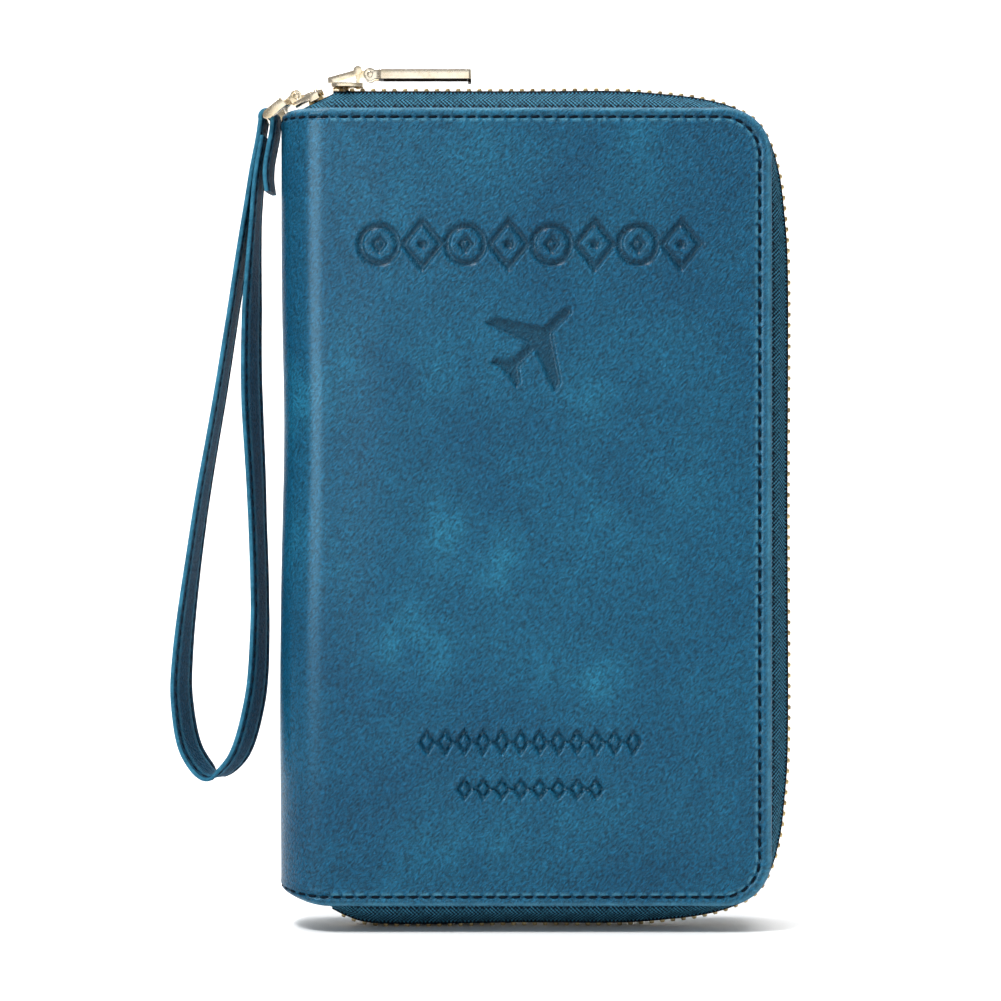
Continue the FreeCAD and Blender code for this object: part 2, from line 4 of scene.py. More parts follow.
import bmesh
import bpy
import numpy as np
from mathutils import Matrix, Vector


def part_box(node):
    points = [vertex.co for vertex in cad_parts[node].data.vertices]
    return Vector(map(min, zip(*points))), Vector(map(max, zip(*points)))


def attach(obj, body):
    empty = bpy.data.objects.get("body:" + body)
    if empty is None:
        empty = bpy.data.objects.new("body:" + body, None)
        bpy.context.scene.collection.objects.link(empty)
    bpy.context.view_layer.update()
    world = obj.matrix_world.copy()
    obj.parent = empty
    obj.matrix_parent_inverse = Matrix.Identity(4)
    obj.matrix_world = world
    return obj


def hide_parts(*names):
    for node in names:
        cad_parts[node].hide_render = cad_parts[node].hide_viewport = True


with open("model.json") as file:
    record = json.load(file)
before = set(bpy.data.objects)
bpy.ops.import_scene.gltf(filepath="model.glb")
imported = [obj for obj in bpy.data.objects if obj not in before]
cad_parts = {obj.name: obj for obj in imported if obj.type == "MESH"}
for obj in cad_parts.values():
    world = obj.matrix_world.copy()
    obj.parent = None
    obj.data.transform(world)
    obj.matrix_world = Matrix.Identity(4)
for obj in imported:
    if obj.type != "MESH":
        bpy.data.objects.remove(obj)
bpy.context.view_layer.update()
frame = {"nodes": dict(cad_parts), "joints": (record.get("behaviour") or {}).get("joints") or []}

# Zip-around passport wallet: its looks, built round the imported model. All lengths are metres.

MM = 0.001

# ------ places taken from the frame

JOINTS = {joint["name"]: joint for joint in frame["joints"]}
FRONT_LOW, FRONT_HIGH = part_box("front_leather")
TEETH_LOW, TEETH_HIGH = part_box("back_teeth")
FOLD_X = JOINTS["back_fold"]["pos_m"][0]
BAR_X, _, BAR_Z = JOINTS["strap_swing"]["pos_m"]
FRONT_Y = FRONT_LOW.y
BACK_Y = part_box("back_leather")[1].y
MID_Y = (FRONT_Y + BACK_Y) / 2
SPINE_RADIUS = (BACK_Y - FRONT_Y) / 2
FORE_X = FRONT_HIGH.x
TOP_Z = FRONT_HIGH.z
TOOTH_HALF_HEIGHT = 1.25 * MM
CHAIN_X = TEETH_HIGH.x - TOOTH_HALF_HEIGHT
CHAIN_Z = TEETH_HIGH.z - TOOTH_HALF_HEIGHT

# ------ sizes of the soft parts. SHELL is the thickness of a cover's layers together.

COVER_CORNER = 12 * MM
BOTTOM_BEND_X = -40 * MM
BOTTOM_RISE = 3.6 * MM
RIM_INSET = 5 * MM
GROOVE_INSET = 2.4 * MM
GROOVE_EXTRA_FORE = 0.8 * MM
STITCH_PITCH = 3.2 * MM
STITCH_LENGTH = 2.15 * MM
THREAD_RADIUS = 0.33 * MM
TOOTH_PITCH = 2.7 * MM
TOOTH_BASE = 3.05 * MM
SHELL = 2.5 * MM
TAPE_THICKNESS = 0.5 * MM
STRAP_HALF_WIDTH = 5.3 * MM
STRAP_HALF_THICKNESS = 0.55 * MM
STRAP_GROOVE = 1.6 * MM
BAR_WRAP = 1.62 * MM
TAPE_FOOT_RADIUS = SPINE_RADIUS - SHELL + 0.3 * MM
TAPE_TOP_HALF = TOOTH_BASE - 0.35 * MM
LINING_INSET = 1.6 * MM
# Box of the long pull's hollow, where its gold has painted shade.
PULL_HOLLOW_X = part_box("long_pull")[0].x + 4.5 * MM
PULL_HOLLOW_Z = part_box("long_pull_pin")[0].z + 0.6 * MM
PULL_HOLLOW_HALF = 1.75 * MM

# Cross-section of a cover's edge, from the flat inwards to the edge and round to the back:
# (distance in from the edge, depth below the face) in millimetres.
EDGE_PROFILE = [
    (5.0, 0.0), (4.4, -0.01), (3.8, -0.04), (3.3, -0.08), (3.0, -0.03), (2.75, 0.14), (2.58, 0.36),
    (2.4, 0.46), (2.22, 0.36), (2.05, 0.14), (1.8, -0.02), (1.45, -0.08), (1.05, -0.05), (0.7, 0.06),
    (0.4, 0.24), (0.17, 0.5), (0.04, 0.85), (0.0, 1.25), (0.03, 1.7), (0.16, 2.1), (0.45, 2.38),
    (0.9, 2.5), (4.5, 2.5),
]
# Row of the profile at the bottom of the stitch groove, and the depth in millimetres past which
# rows face sideways or back.
GROOVE_AT = 7
EDGE_TURN = 1.2

# Corner of the chain as (in from the fore edge, in from the top) in millimetres, top side first.
CHAIN_CORNER = [(41.0, 0.0), (31.5, 0.7), (21.8, 1.9), (13.6, 4.2), (7.7, 7.7)]

# The chain's sloping ends over the spine: height at the fold, slope and reach past the fold.
CHAIN_ENDS = {
    "top": (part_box("spine_tape_top")[1].z + 0.05 * MM, math.tan(math.radians(27)), 6.7 * MM),
    "bottom": (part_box("spine_tape_bottom")[0].z, -0.4, 4.4 * MM),
}


# ------ mesh helpers


def make_piece(name, points, faces, material, body, replaced=(), sharp=50):
    """Mesh object that rides on a body, with outward normals and smooth shading under sharp degrees."""
    mesh = bpy.data.meshes.new(name)
    mesh.from_pydata([tuple(p) for p in points], [], [tuple(int(i) for i in f) for f in faces])
    mesh.validate()
    edit = bmesh.new()
    edit.from_mesh(mesh)
    bmesh.ops.recalc_face_normals(edit, faces=edit.faces)
    edit.to_mesh(mesh)
    edit.free()
    mesh.shade_smooth()
    mesh.set_sharp_from_angle(angle=math.radians(sharp))
    mesh.materials.append(material)
    piece = bpy.data.objects.new(name, mesh)
    bpy.context.scene.collection.objects.link(piece)
    if body:
        join_model(piece, body, replaced)
    return piece


def join_model(piece, body, replaced):
    """Puts a piece on the body that it rides on and hides the CAD nodes that it stands for."""
    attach(piece, body)
    if replaced:
        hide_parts(*replaced)


def set_point_value(piece, name, values):
    """Stores one number per vertex for the material to read."""
    attribute = piece.data.attributes.new(name, "FLOAT", "POINT")
    attribute.data.foreach_set("value", np.asarray(values, np.float32))


def set_leather_values(piece, pressed, edge, rubbed):
    """The three values that leather reads: darkened presses, worn edges with painted highlights beside the
    stitch grooves, and lifted wax.
    """
    for name, values in (("pressed", pressed), ("edge", edge), ("rubbed", rubbed)):
        set_point_value(piece, name, values)


def set_uv(piece, values):
    """Stores a (u, v) pair per vertex as a texture layout."""
    layer = piece.data.uv_layers.new(name="along")
    corner_vertex = np.zeros(len(piece.data.loops), np.int32)
    piece.data.loops.foreach_get("vertex_index", corner_vertex)
    layer.data.foreach_set("uv", np.asarray(values, np.float32)[corner_vertex].ravel())


def grid_quads(rows, columns, close_columns=False, start=0):
    """Quads between consecutive rows of a rows by columns block of vertices."""
    step = columns if close_columns else columns - 1
    row, column = np.meshgrid(np.arange(rows - 1), np.arange(step), indexing="ij")
    after = (column + 1) % columns
    quads = np.stack(
        [row * columns + column, row * columns + after,
         (row + 1) * columns + after, (row + 1) * columns + column], axis=-1)
    return quads.reshape(-1, 4) + start


def tube_faces(rings, sides):
    """Faces of a closed tube: rings of vertices in order, with a cap at both ends."""
    faces = [tuple(q) for q in grid_quads(rings, sides, close_columns=True)]
    faces.append(tuple(range(sides)))
    faces.append(tuple(range((rings - 1) * sides, rings * sides)))
    return faces


def band_faces(rows, columns):
    """Faces of a long closed band: each row runs its length, and the rows go round its section."""
    faces = [tuple(q) for q in grid_quads(rows, columns)]
    first, last = np.arange(columns), (rows - 1) * columns + np.arange(columns)
    faces += list(zip(first[1:], first[:-1], last[:-1], last[1:]))
    faces.append(tuple(np.arange(rows) * columns))
    faces.append(tuple(np.arange(rows) * columns + columns - 1))
    return faces


def bell(value, middle, width):
    """1 at the middle, falling off smoothly over the width."""
    return np.exp(-((value - middle) / width) ** 2)


def smooth_step(value, low, high):
    """0 below low, 1 above high, eased between."""
    share = np.clip((value - low) / (high - low), 0, 1)
    return share * share * (3 - 2 * share)


def arc_points(centre_x, centre_z, radius, start, end, count):
    turn = np.radians(np.linspace(start, end, count))
    return np.stack([centre_x + radius * np.cos(turn), centre_z + radius * np.sin(turn)], axis=1)


def chain_line(spacing):
    """Middle line of the teeth, from the lower fold round the fore edge to the upper fold."""
    corner = np.array(CHAIN_CORNER + [(b, a) for a, b in CHAIN_CORNER[-2::-1]]) * MM
    upper = np.stack([CHAIN_X - corner[:, 0], CHAIN_Z - corner[:, 1]], 1)
    lower = upper * [1, -1]
    start = [(FOLD_X, BOTTOM_RISE - CHAIN_Z), (FOLD_X + 4 * MM, 0.42 * BOTTOM_RISE - CHAIN_Z),
             (BOTTOM_BEND_X, -CHAIN_Z), (0.0, -CHAIN_Z)]
    end = [(0.0, CHAIN_Z), (FOLD_X + 12 * MM, CHAIN_Z), (FOLD_X, CHAIN_Z)]
    corners = np.concatenate([start, lower, [(CHAIN_X, 0.0)], upper[::-1], end])
    rough = smooth_line(corners, 4000)
    return smooth_line(corners, int(lengths(rough)[-1] / spacing))


def nearest_on_cover(points, inset):
    """Foot of each point on the cover's outline, drawn in by inset."""
    corner = np.array([FORE_X - COVER_CORNER, TOP_Z - COVER_CORNER])
    side = np.where(points[:, 1] < 0, -1.0, 1.0)
    away = np.stack([points[:, 0], points[:, 1] * side], 1) - corner
    reach = COVER_CORNER - inset
    turned = np.maximum(away, 0)
    length = np.maximum(np.linalg.norm(turned, axis=1), 1e-9)
    foot = corner + np.minimum(away, 0) + turned / length[:, None] * reach
    return np.stack([foot[:, 0], foot[:, 1] * side], 1)


def lengths(points):
    """Distance along a line of points, from its first point."""
    steps = np.linalg.norm(np.diff(points, axis=0), axis=1)
    return np.concatenate([[0], np.cumsum(steps)])


def sample(values, along, distances):
    """Rows of values, known at the distances in along, read at other distances."""
    return np.stack([np.interp(distances, along, column) for column in values.T], 1)


def at_length(points, distances):
    """Points and unit directions at given distances along a line of points."""
    along = lengths(points)
    step = 0.02 * MM
    direction = sample(points, along, distances + step) - sample(points, along, distances - step)
    return sample(points, along, distances), unit(direction)


def upright(line, y):
    """The (x, z) points of a line as 3-D points at depth y."""
    return np.stack([line[:, 0], np.full(len(line), y), line[:, 1]], 1)


def unit(vectors):
    return vectors / np.maximum(np.linalg.norm(vectors, axis=1), 1e-12)[:, None]


def smooth_line(corners, count):
    """Catmull-Rom curve through the corners, evenly spaced."""
    padded = np.concatenate([[2 * corners[0] - corners[1]], corners, [2 * corners[-1] - corners[-2]]])
    dense = []
    for index in range(len(corners) - 1):
        a, b, c, d = padded[index:index + 4]
        knots = [0.0]
        for p, q in ((a, b), (b, c), (c, d)):
            knots.append(knots[-1] + np.linalg.norm(q - p) ** 0.5)
        t = np.linspace(knots[1], knots[2], 40, endpoint=False)[:, None]

        def between(first, second, low, high):
            return ((knots[high] - t) * first + (t - knots[low]) * second) / (knots[high] - knots[low])

        ab, bc, cd = between(a, b, 0, 1), between(b, c, 1, 2), between(c, d, 2, 3)
        dense.append(between(between(ab, bc, 0, 2), between(bc, cd, 1, 3), 1, 2))
    dense = np.concatenate(dense + [corners[-1:]])
    along = lengths(dense)
    return sample(dense, along, np.linspace(0, along[-1], count))


# ------ materials


class Nodes:
    """Short way to wire a procedural material."""

    def __init__(self, name):
        self.material = bpy.data.materials.new(name)
        self.material.use_nodes = True
        self.tree = self.material.node_tree
        self.tree.nodes.clear()
        self.surface = self.node("ShaderNodeBsdfPrincipled")
        self.node("ShaderNodeOutputMaterial", {"Surface": self.surface.outputs[0]})
        self.where = self.node("ShaderNodeTexCoord").outputs["Object"]

    def node(self, kind, inputs=None, **settings):
        """New node with its settings made and its named or numbered inputs linked."""
        made = self.tree.nodes.new(kind)
        for key, value in settings.items():
            setattr(made, key, value)
        for key, value in (inputs or {}).items():
            self.link(value, made.inputs[key])
        return made

    def link(self, source, target):
        """Joins an output to an input, or sets the input to a number, vector or colour."""
        if isinstance(source, bpy.types.NodeSocket):
            self.tree.links.new(source, target)
        elif isinstance(source, tuple) and target.type == "RGBA":
            target.default_value = (*source, 1)
        else:
            target.default_value = source

    def math(self, operation, a, b=0.0):
        return self.node("ShaderNodeMath", {0: a, 1: b}, operation=operation).outputs[0]

    def plus(self, a, b):
        return self.math("ADD", a, b)

    def times(self, a, b):
        return self.math("MULTIPLY", a, b)

    def noise(self, per_metre, detail=3.0, roughness=0.5, distortion=0.0, source=None, offset=0.0):
        inputs = {"Vector": source or self.where, "Scale": per_metre, "Detail": detail,
                  "Roughness": roughness, "Distortion": distortion, "W": offset}
        return self.node("ShaderNodeTexNoise", inputs, noise_dimensions="4D").outputs[0]

    def ramp(self, value, low, high, to_low=0.0, to_high=1.0):
        """Eases from to_low to to_high as the value goes from low to high."""
        inputs = {"Value": value, "From Min": low, "From Max": high, "To Min": to_low, "To Max": to_high}
        return self.node("ShaderNodeMapRange", inputs, interpolation_type="SMOOTHSTEP").outputs[0]

    def mix(self, factor, a, b):
        return self.node("ShaderNodeMix", {0: factor, 6: a, 7: b}, data_type="RGBA").outputs[2]

    def value_of(self, name):
        return self.node("ShaderNodeAttribute", attribute_name=name).outputs["Fac"]

    def split(self, vector):
        """The x, y and z of a vector."""
        return self.node("ShaderNodeSeparateXYZ", {0: vector}).outputs

    def bump(self, height, strength, distance):
        made = self.node("ShaderNodeBump", {"Height": height, "Strength": strength, "Distance": distance})
        self.link(made.outputs[0], self.surface.inputs["Normal"])

    def finish(self, **inputs):
        for key, value in inputs.items():
            self.link(value, self.surface.inputs[key.replace("_", " ")])
        return self.material


def srgb(red, green, blue):
    """Screen colour (0 to 255) as the linear colour that Blender mixes."""
    def linear(value):
        value /= 255
        return value / 12.92 if value <= 0.04045 else ((value + 0.055) / 1.055) ** 2.4

    return linear(red), linear(green), linear(blue)


def leather_material(name, dark, light, edge_and_highlight_colour, cloud=1.0, grain=1.0, shine=0.16, wax=0.2,
                     dull=0.33):
    """Waxed leather: faint cloudy shade, lifted patches, pebble grain and dark burnished presses."""
    n = Nodes(name)
    broad = n.noise(34, 3.0, 0.55, 0.5, offset=1.7)
    wisps = n.noise(100, 6.0, 0.68, 0.35, offset=4.2)
    patches = n.times(n.ramp(broad, 0.5, 0.72), n.ramp(wisps, 0.4, 0.72))
    rubbed = n.times(n.value_of("rubbed"), n.ramp(wisps, 0.32, 0.64))
    lifted = n.math("MAXIMUM", n.times(patches, 0.3), n.times(rubbed, 0.62))
    lifted = n.plus(lifted, n.times(n.ramp(broad, 0.3, 0.62), 0.16))
    shade = n.mix(n.times(lifted, cloud), dark, light)
    lean = {"Vector": n.where, "Rotation": (0, math.radians(40), 0), "Scale": (1.0, 1.0, 1.9)}
    leaning = n.node("ShaderNodeMapping", lean, vector_type="TEXTURE").outputs[0]
    cells = n.node("ShaderNodeTexVoronoi", {"Vector": leaning, "Scale": 2100}, feature="SMOOTH_F1")
    pebble = n.ramp(cells.outputs["Distance"], 0.05, 0.75)
    fine = n.noise(3000, 3.0, 0.6, source=leaning)
    creases = n.ramp(n.noise(1900, 2.5, 0.55, 0.6, source=leaning, offset=2.2), 0.3, 0.7)
    speck = n.plus(n.times(pebble, -0.6), n.times(creases, 0.8))
    tint = n.node("ShaderNodeHueSaturation", {"Value": n.plus(n.times(speck, grain), 0.93), "Color": shade})
    pressed = n.value_of("pressed")
    colour = n.mix(n.times(pressed, 0.6), tint.outputs[0], tuple(c * 0.3 for c in dark))
    # The edge value lays the edge colour over real edge wear and over the painted highlights beside the
    # stitch grooves.
    worn = n.ramp(n.noise(260, 3.0, 0.6), 0.3, 0.75, 0.45, 1.0)
    colour = n.mix(n.times(n.value_of("edge"), worn), colour, edge_and_highlight_colour)
    roughness = n.plus(n.plus(n.times(fine, 0.16), n.times(lifted, 0.1)), dull)
    roughness = n.math("SUBTRACT", roughness, n.times(pressed, 0.1))
    height = n.plus(n.times(pebble, -0.8), n.plus(n.times(fine, 0.35), n.times(creases, 1.1)))
    n.bump(height, grain, 0.3 * MM)
    return n.finish(Base_Color=colour, Roughness=roughness, Specular_IOR_Level=shine,
                    Specular_Tint=WAX_TINT, Coat_Weight=wax, Coat_Roughness=0.24)


def thread_material():
    """Twisted thread: dark navy with a lighter ply line."""
    n = Nodes("thread")
    ply = n.noise(2600, 2.0, 0.5)
    n.bump(ply, 0.5, 0.08 * MM)
    colour = n.mix(n.ramp(ply, 0.35, 0.7), srgb(4, 14, 24), srgb(10, 30, 46))
    return n.finish(Base_Color=colour, Roughness=0.62, Specular_IOR_Level=0.08)


def tape_material(dark, light):
    """Zip tape: a weave of fine threads over the ribs in the mesh, with a painted highlight on the rib
    crests and painted shade in the valleys between them.
    """
    n = Nodes("zip_tape")
    threads_per_metre = 1100
    u, v, _ = n.split(n.node("ShaderNodeUVMap", uv_map="along").outputs[0])
    warp = n.math("SINE", n.times(u, threads_per_metre * 2 * math.pi))
    weft = n.math("SINE", n.times(v, threads_per_metre * 1.3 * math.pi))
    weave = n.times(warp, weft)
    fuzz = n.noise(1400, 3.0, 0.6)
    # The rib value paints the crests lighter and the valleys darker: painted highlight and painted shade.
    share = n.plus(n.times(n.value_of("rib"), 0.58), n.times(weave, 0.3))
    share = n.plus(share, n.times(n.math("SUBTRACT", fuzz, 0.5), 0.5))
    n.bump(n.plus(weave, fuzz), 0.45, 0.07 * MM)
    return n.finish(Base_Color=n.mix(n.ramp(share, 0.0, 1.0), dark, light), Roughness=0.8,
                    Specular_IOR_Level=0.08)


def cloth_material(dark, light):
    """Plain-weave lining cloth."""
    n = Nodes("lining_cloth")
    threads_per_metre = 1500
    x, _, z = n.split(n.where)
    across = n.math("SINE", n.times(x, threads_per_metre * math.pi))
    upward = n.math("SINE", n.times(z, threads_per_metre * math.pi))
    weave = n.times(across, upward)
    share = n.plus(n.times(weave, 0.35), n.noise(60, 3.0))
    n.bump(weave, 0.4, 0.08 * MM)
    return n.finish(Base_Color=n.mix(n.ramp(share, 0.1, 0.9), dark, light), Roughness=0.78,
                    Sheen_Weight=0.2)


def board_material():
    """Pressed fibre board."""
    n = Nodes("board")
    fibres = n.noise(900, 5.0, 0.7, 1.2)
    n.bump(fibres, 0.4, 0.1 * MM)
    colour = n.mix(n.ramp(fibres, 0.3, 0.7), srgb(134, 124, 106), srgb(176, 166, 146))
    return n.finish(Base_Color=colour, Roughness=0.9)


def gold_material(name, bright, deep, roughness, painted_shade_below=False):
    """Plated metal: faint polishing marks, tarnish in patches and tiny scratches.
    painted_shade_below paints shade into the colour of downward faces and of the long pull's hollow, and
    makes them rougher."""
    n = Nodes(name)
    tarnish = n.noise(240, 4.0, 0.6, 0.4)
    brushed = n.noise(1800, 3.0, 0.5, 2.0)
    scratch = n.ramp(n.noise(700, 2.0, 0.4, 3.5), 0.62, 0.66)
    n.bump(n.plus(brushed, n.times(scratch, 0.4)), 0.06, 0.03 * MM)
    rough = n.plus(n.plus(n.times(tarnish, 0.16), roughness), n.times(scratch, 0.1))
    colour = n.mix(n.ramp(tarnish, 0.4, 0.75), bright, deep)
    if painted_shade_below:
        # Painted shade: downward faces and the long pull's hollow get a dark colour where shadow falls
        # under the bar.
        facing = n.split(n.node("ShaderNodeTexCoord").outputs["Normal"])
        below = n.ramp(n.times(facing[2], -1.0), 0.6, 0.9)
        x, y, z = n.split(n.where)
        from_middle = n.math("ABSOLUTE", n.math("SUBTRACT", y, MID_Y))
        hollow = n.times(n.math("LESS_THAN", from_middle, PULL_HOLLOW_HALF),
                         n.math("LESS_THAN", z, PULL_HOLLOW_Z))
        hollow = n.times(hollow, n.math("GREATER_THAN", x, PULL_HOLLOW_X))
        below = n.math("MAXIMUM", below, hollow)
        colour = n.mix(below, colour, srgb(34, 28, 22))
        rough = n.plus(rough, n.times(below, 0.35))
    return n.finish(Base_Color=colour, Metallic=1.0, Roughness=rough)


WAX_TINT = (0.33, 0.8, 1.0)
# Colour of worn edges, also used for the painted highlights beside the stitch grooves.
EDGE_AND_HIGHLIGHT_TEAL = srgb(90, 158, 186)
COVER = leather_material("cover_leather", srgb(6, 72, 105), srgb(34, 120, 152), EDGE_AND_HIGHLIGHT_TEAL)
STRAP = leather_material("strap_leather", srgb(8, 50, 74), srgb(24, 88, 118), srgb(70, 146, 178),
                         cloud=0.6, grain=0.8, shine=0.12, wax=0.0, dull=0.6)
POCKET = leather_material("pocket_leather", srgb(12, 58, 82), srgb(26, 96, 126), EDGE_AND_HIGHLIGHT_TEAL,
                          cloud=0.6, grain=0.8)
THREAD = thread_material()
# The tape's colours run from painted shade in the rib valleys to a painted highlight on the crests.
TAPE = tape_material(srgb(4, 17, 30), srgb(68, 138, 168))
CLOTH = cloth_material(srgb(16, 44, 62), srgb(34, 74, 96))
BOARD = board_material()
GOLD = gold_material("gold_hardware", srgb(253, 240, 216), srgb(243, 222, 182), 0.12)
# The long pull's gold carries painted shade under it and in its hollow.
SHADED_PULL_GOLD = gold_material("gold_pull_painted_shade", srgb(254, 243, 222), srgb(248, 230, 196), 0.12, painted_shade_below=True)
TEETH = gold_material("zip_teeth", srgb(204, 180, 132), srgb(104, 82, 50), 0.3)


# ------ pressed ornament on the front


BAND_PITCH = 10.8
ROW_PITCH = 4.7


def ring_shape(x, z, radius, half_line):
    return np.abs(np.hypot(x, z) - radius) - half_line


def lozenge_shape(x, z, half_width, half_height, half_line):
    slope = math.hypot(half_width, half_height)
    outside = (np.abs(x) * half_height + np.abs(z) * half_width - half_width * half_height) / slope
    return np.abs(outside) - half_line


def dot_shape(x, z, radius):
    return np.hypot(x, z) - radius


def bar_shape(x, z, half_length, half_line):
    return np.hypot(np.maximum(np.abs(x) - half_length, 0), z) - half_line


def polygon_shape(x, z, corners):
    """Signed distance to a closed polygon, negative inside."""
    distance = np.full(x.shape, np.inf)
    sign = np.ones(x.shape)
    for (ax, az), (bx, bz) in zip(corners, corners[1:] + corners[:1]):
        ex, ez = bx - ax, bz - az
        wx, wz = x - ax, z - az
        share = np.clip((wx * ex + wz * ez) / (ex * ex + ez * ez), 0, 1)
        distance = np.minimum(distance, np.hypot(wx - ex * share, wz - ez * share))
        crosses = (az > z) != (bz > z)
        with np.errstate(divide="ignore", invalid="ignore"):
            left_of = x < (bx - ax) * (z - az) / (bz - az) + ax
        sign = np.where(crosses & left_of, -sign, sign)
    return sign * distance


def title_band(x, z):
    """Row of rings and lozenges, in millimetres about its own middle."""
    shape = np.full(x.shape, np.inf)
    for index in range(8):
        across = x - (index - 3.5) * BAND_PITCH
        if index % 2:
            outer = lozenge_shape(across, z, 4.7, 5.8, 0.8)
            inner = dot_shape(across, z, 1.2)
        else:
            outer = ring_shape(across, z, 4.7, 0.85)
            inner = lozenge_shape(across, z, 1.3, 1.7, 0.6)
        shape = np.minimum(shape, np.minimum(outer, inner))
    return shape


def plane_sign(x, z):
    """Plain aeroplane seen from above, nose up to the right, in millimetres."""
    lean = math.radians(45)
    u = x * math.cos(lean) + z * math.sin(lean)
    v = np.abs(-x * math.sin(lean) + z * math.cos(lean))
    body = bar_shape(u, v, 10.2, 1.25)
    wing = polygon_shape(u, v, [(4.2, 0.5), (-3.4, 11.8), (-6.2, 12.2), (-1.8, 0.5)])
    tail = polygon_shape(u, v, [(-7.4, 0.4), (-10.4, 4.5), (-12.2, 4.6), (-11.0, 0.4)])
    return np.minimum(np.minimum(body, wing), tail)


def small_row(x, z, count, half_height):
    """Short row of small lozenges joined by dots."""
    shape = np.full(x.shape, np.inf)
    for index in range(count):
        across = x - (index - (count - 1) / 2) * ROW_PITCH
        shape = np.minimum(shape, lozenge_shape(across, z, 0.34 * ROW_PITCH, half_height, 0.4))
        if index < count - 1:
            shape = np.minimum(shape, dot_shape(across - ROW_PITCH / 2, z, 0.42))
    return shape


# (middle across in mm, height as a share of the cover's top, shape, half width, half height in mm)
ORNAMENTS = [
    (0.9, 0.6575, title_band, 50, 8),
    (2.75, 0.416, plane_sign, 15, 15),
    (0.9, -0.5875, lambda x, z: small_row(x, z, 12, 2.7), 32, 5),
    (0.9, -0.705, lambda x, z: small_row(x, z, 8, 2.2), 22, 5),
]


def pressed_depth(x, z):
    """How far the ornaments press into the face (0 to 1), and the raised lip round them."""
    depth = np.zeros(x.shape)
    lip = np.zeros(x.shape)
    for middle_x, height, shape, half_width, half_height in ORNAMENTS:
        dx = x / MM - middle_x
        dz = (z - height * TOP_Z) / MM
        near = (np.abs(dx) < half_width) & (np.abs(dz) < half_height)
        distance = shape(dx[near], dz[near])
        depth[near] = np.maximum(depth[near], 1 - smooth_step(distance, -0.35, 0.22))
        lip[near] = np.maximum(lip[near], bell(distance, 0.6, 0.35))
    return depth, lip


# ------ cover leather


# Soft patches where handling has lifted the wax: (across, strength, up, radius in mm), with across
# and up as shares of the cover's half width and half height.
RUBBED_SPOTS = [
    (-0.31, 1.0, -0.06, 7), (-0.1, 0.9, -0.14, 7), (-0.5, 0.8, -0.33, 8), (-0.4, 0.7, -0.36, 7),
    (0.3, 1.0, -0.43, 7), (0.12, 0.6, -0.4, 7), (-0.92, 0.7, 0.27, 9), (-0.72, 0.5, 0.38, 8),
    (-0.39, 0.5, 0.33, 9), (0.26, 0.5, 0.27, 8), (0.66, 0.6, 0.07, 8), (0.5, 0.4, 0.13, 6),
    (-0.35, 0.5, -0.83, 9), (-0.08, 0.5, -0.82, 8), (-0.19, 0.5, 0.9, 10), (0.44, 0.5, 0.92, 9),
    (0.72, 0.3, -0.72, 9), (-0.12, 0.35, 0.38, 9),
]


def rubbed_amount(x, z):
    """How much of the wax has lifted, 0 to 1."""
    amount = np.zeros(x.shape)
    for share_x, strength, share_z, radius in RUBBED_SPOTS:
        far = np.hypot(x - share_x * FORE_X, (z - share_z * TOP_Z) * 0.8) / (radius * MM)
        amount = np.maximum(amount, strength * np.exp(-far ** 2))
    return amount


def swell(x, z):
    """Slow unevenness of the padded face, flat along the fold and the stitching."""
    wave = (np.sin(41 * x + 0.6) * np.sin(33 * z + 1.1) + 0.6 * np.sin(77 * x - 52 * z + 2.0)
            + 0.4 * np.sin(120 * x + 95 * z + 0.4))
    return wave * 0.07 * MM


def inset_of(x, z):
    """Distance in from the cover's outline, and the outline's outward direction there."""
    dx = x - (FORE_X - COVER_CORNER)
    dz = np.abs(z) - (TOP_Z - COVER_CORNER)
    corner = (dx > 0) & (dz > 0)
    round_off = np.hypot(dx, dz)
    inset = np.where(corner, COVER_CORNER - round_off, np.minimum(FORE_X - x, TOP_Z - np.abs(z)))
    side = (FORE_X - x) < (TOP_Z - np.abs(z))
    out_x = np.where(corner, dx / np.maximum(round_off, 1e-9), np.where(side, 1.0, 0.0))
    out_z = np.where(corner, dz / np.maximum(round_off, 1e-9), np.where(side, 0.0, 1.0)) * np.sign(z)
    return inset, out_x, out_z


def groove_shift(inset, out_x):
    """The stitch line lies further in along the fore edge."""
    return GROOVE_EXTRA_FORE * np.maximum(out_x, 0) * np.clip(inset / GROOVE_INSET, 0, 1)


def staircase(kept):
    """Vertex indices along the open edge of the kept cells: bottom, fore side, then top."""
    rows, columns = kept.shape
    filled = [r for r in range(rows) if kept[r].any()]
    reach = {r: int(np.nonzero(kept[r])[0].max()) + 1 for r in filled}
    width = columns + 1
    path = [filled[0] * width + c for c in range(reach[filled[0]] + 1)]
    for r in filled:
        path.append((r + 1) * width + reach[r])
        if r + 1 in reach:
            step = 1 if reach[r + 1] > reach[r] else -1
            path += [(r + 1) * width + c for c in range(reach[r] + step, reach[r + 1] + step, step)
                     if reach[r + 1] != reach[r]]
    last = filled[-1] + 1
    path += [last * width + c for c in range(reach[filled[-1]] - 1, -1, -1)]
    return path


def stitch_press(distance):
    """1 where a stitch presses the leather down, 0 at the bridges between stitches."""
    phase = (distance / STITCH_PITCH) % 1.0
    from_middle = np.abs(phase - 0.5) * STITCH_PITCH
    return 1 - smooth_step(from_middle, 0.85 * MM, 1.35 * MM)


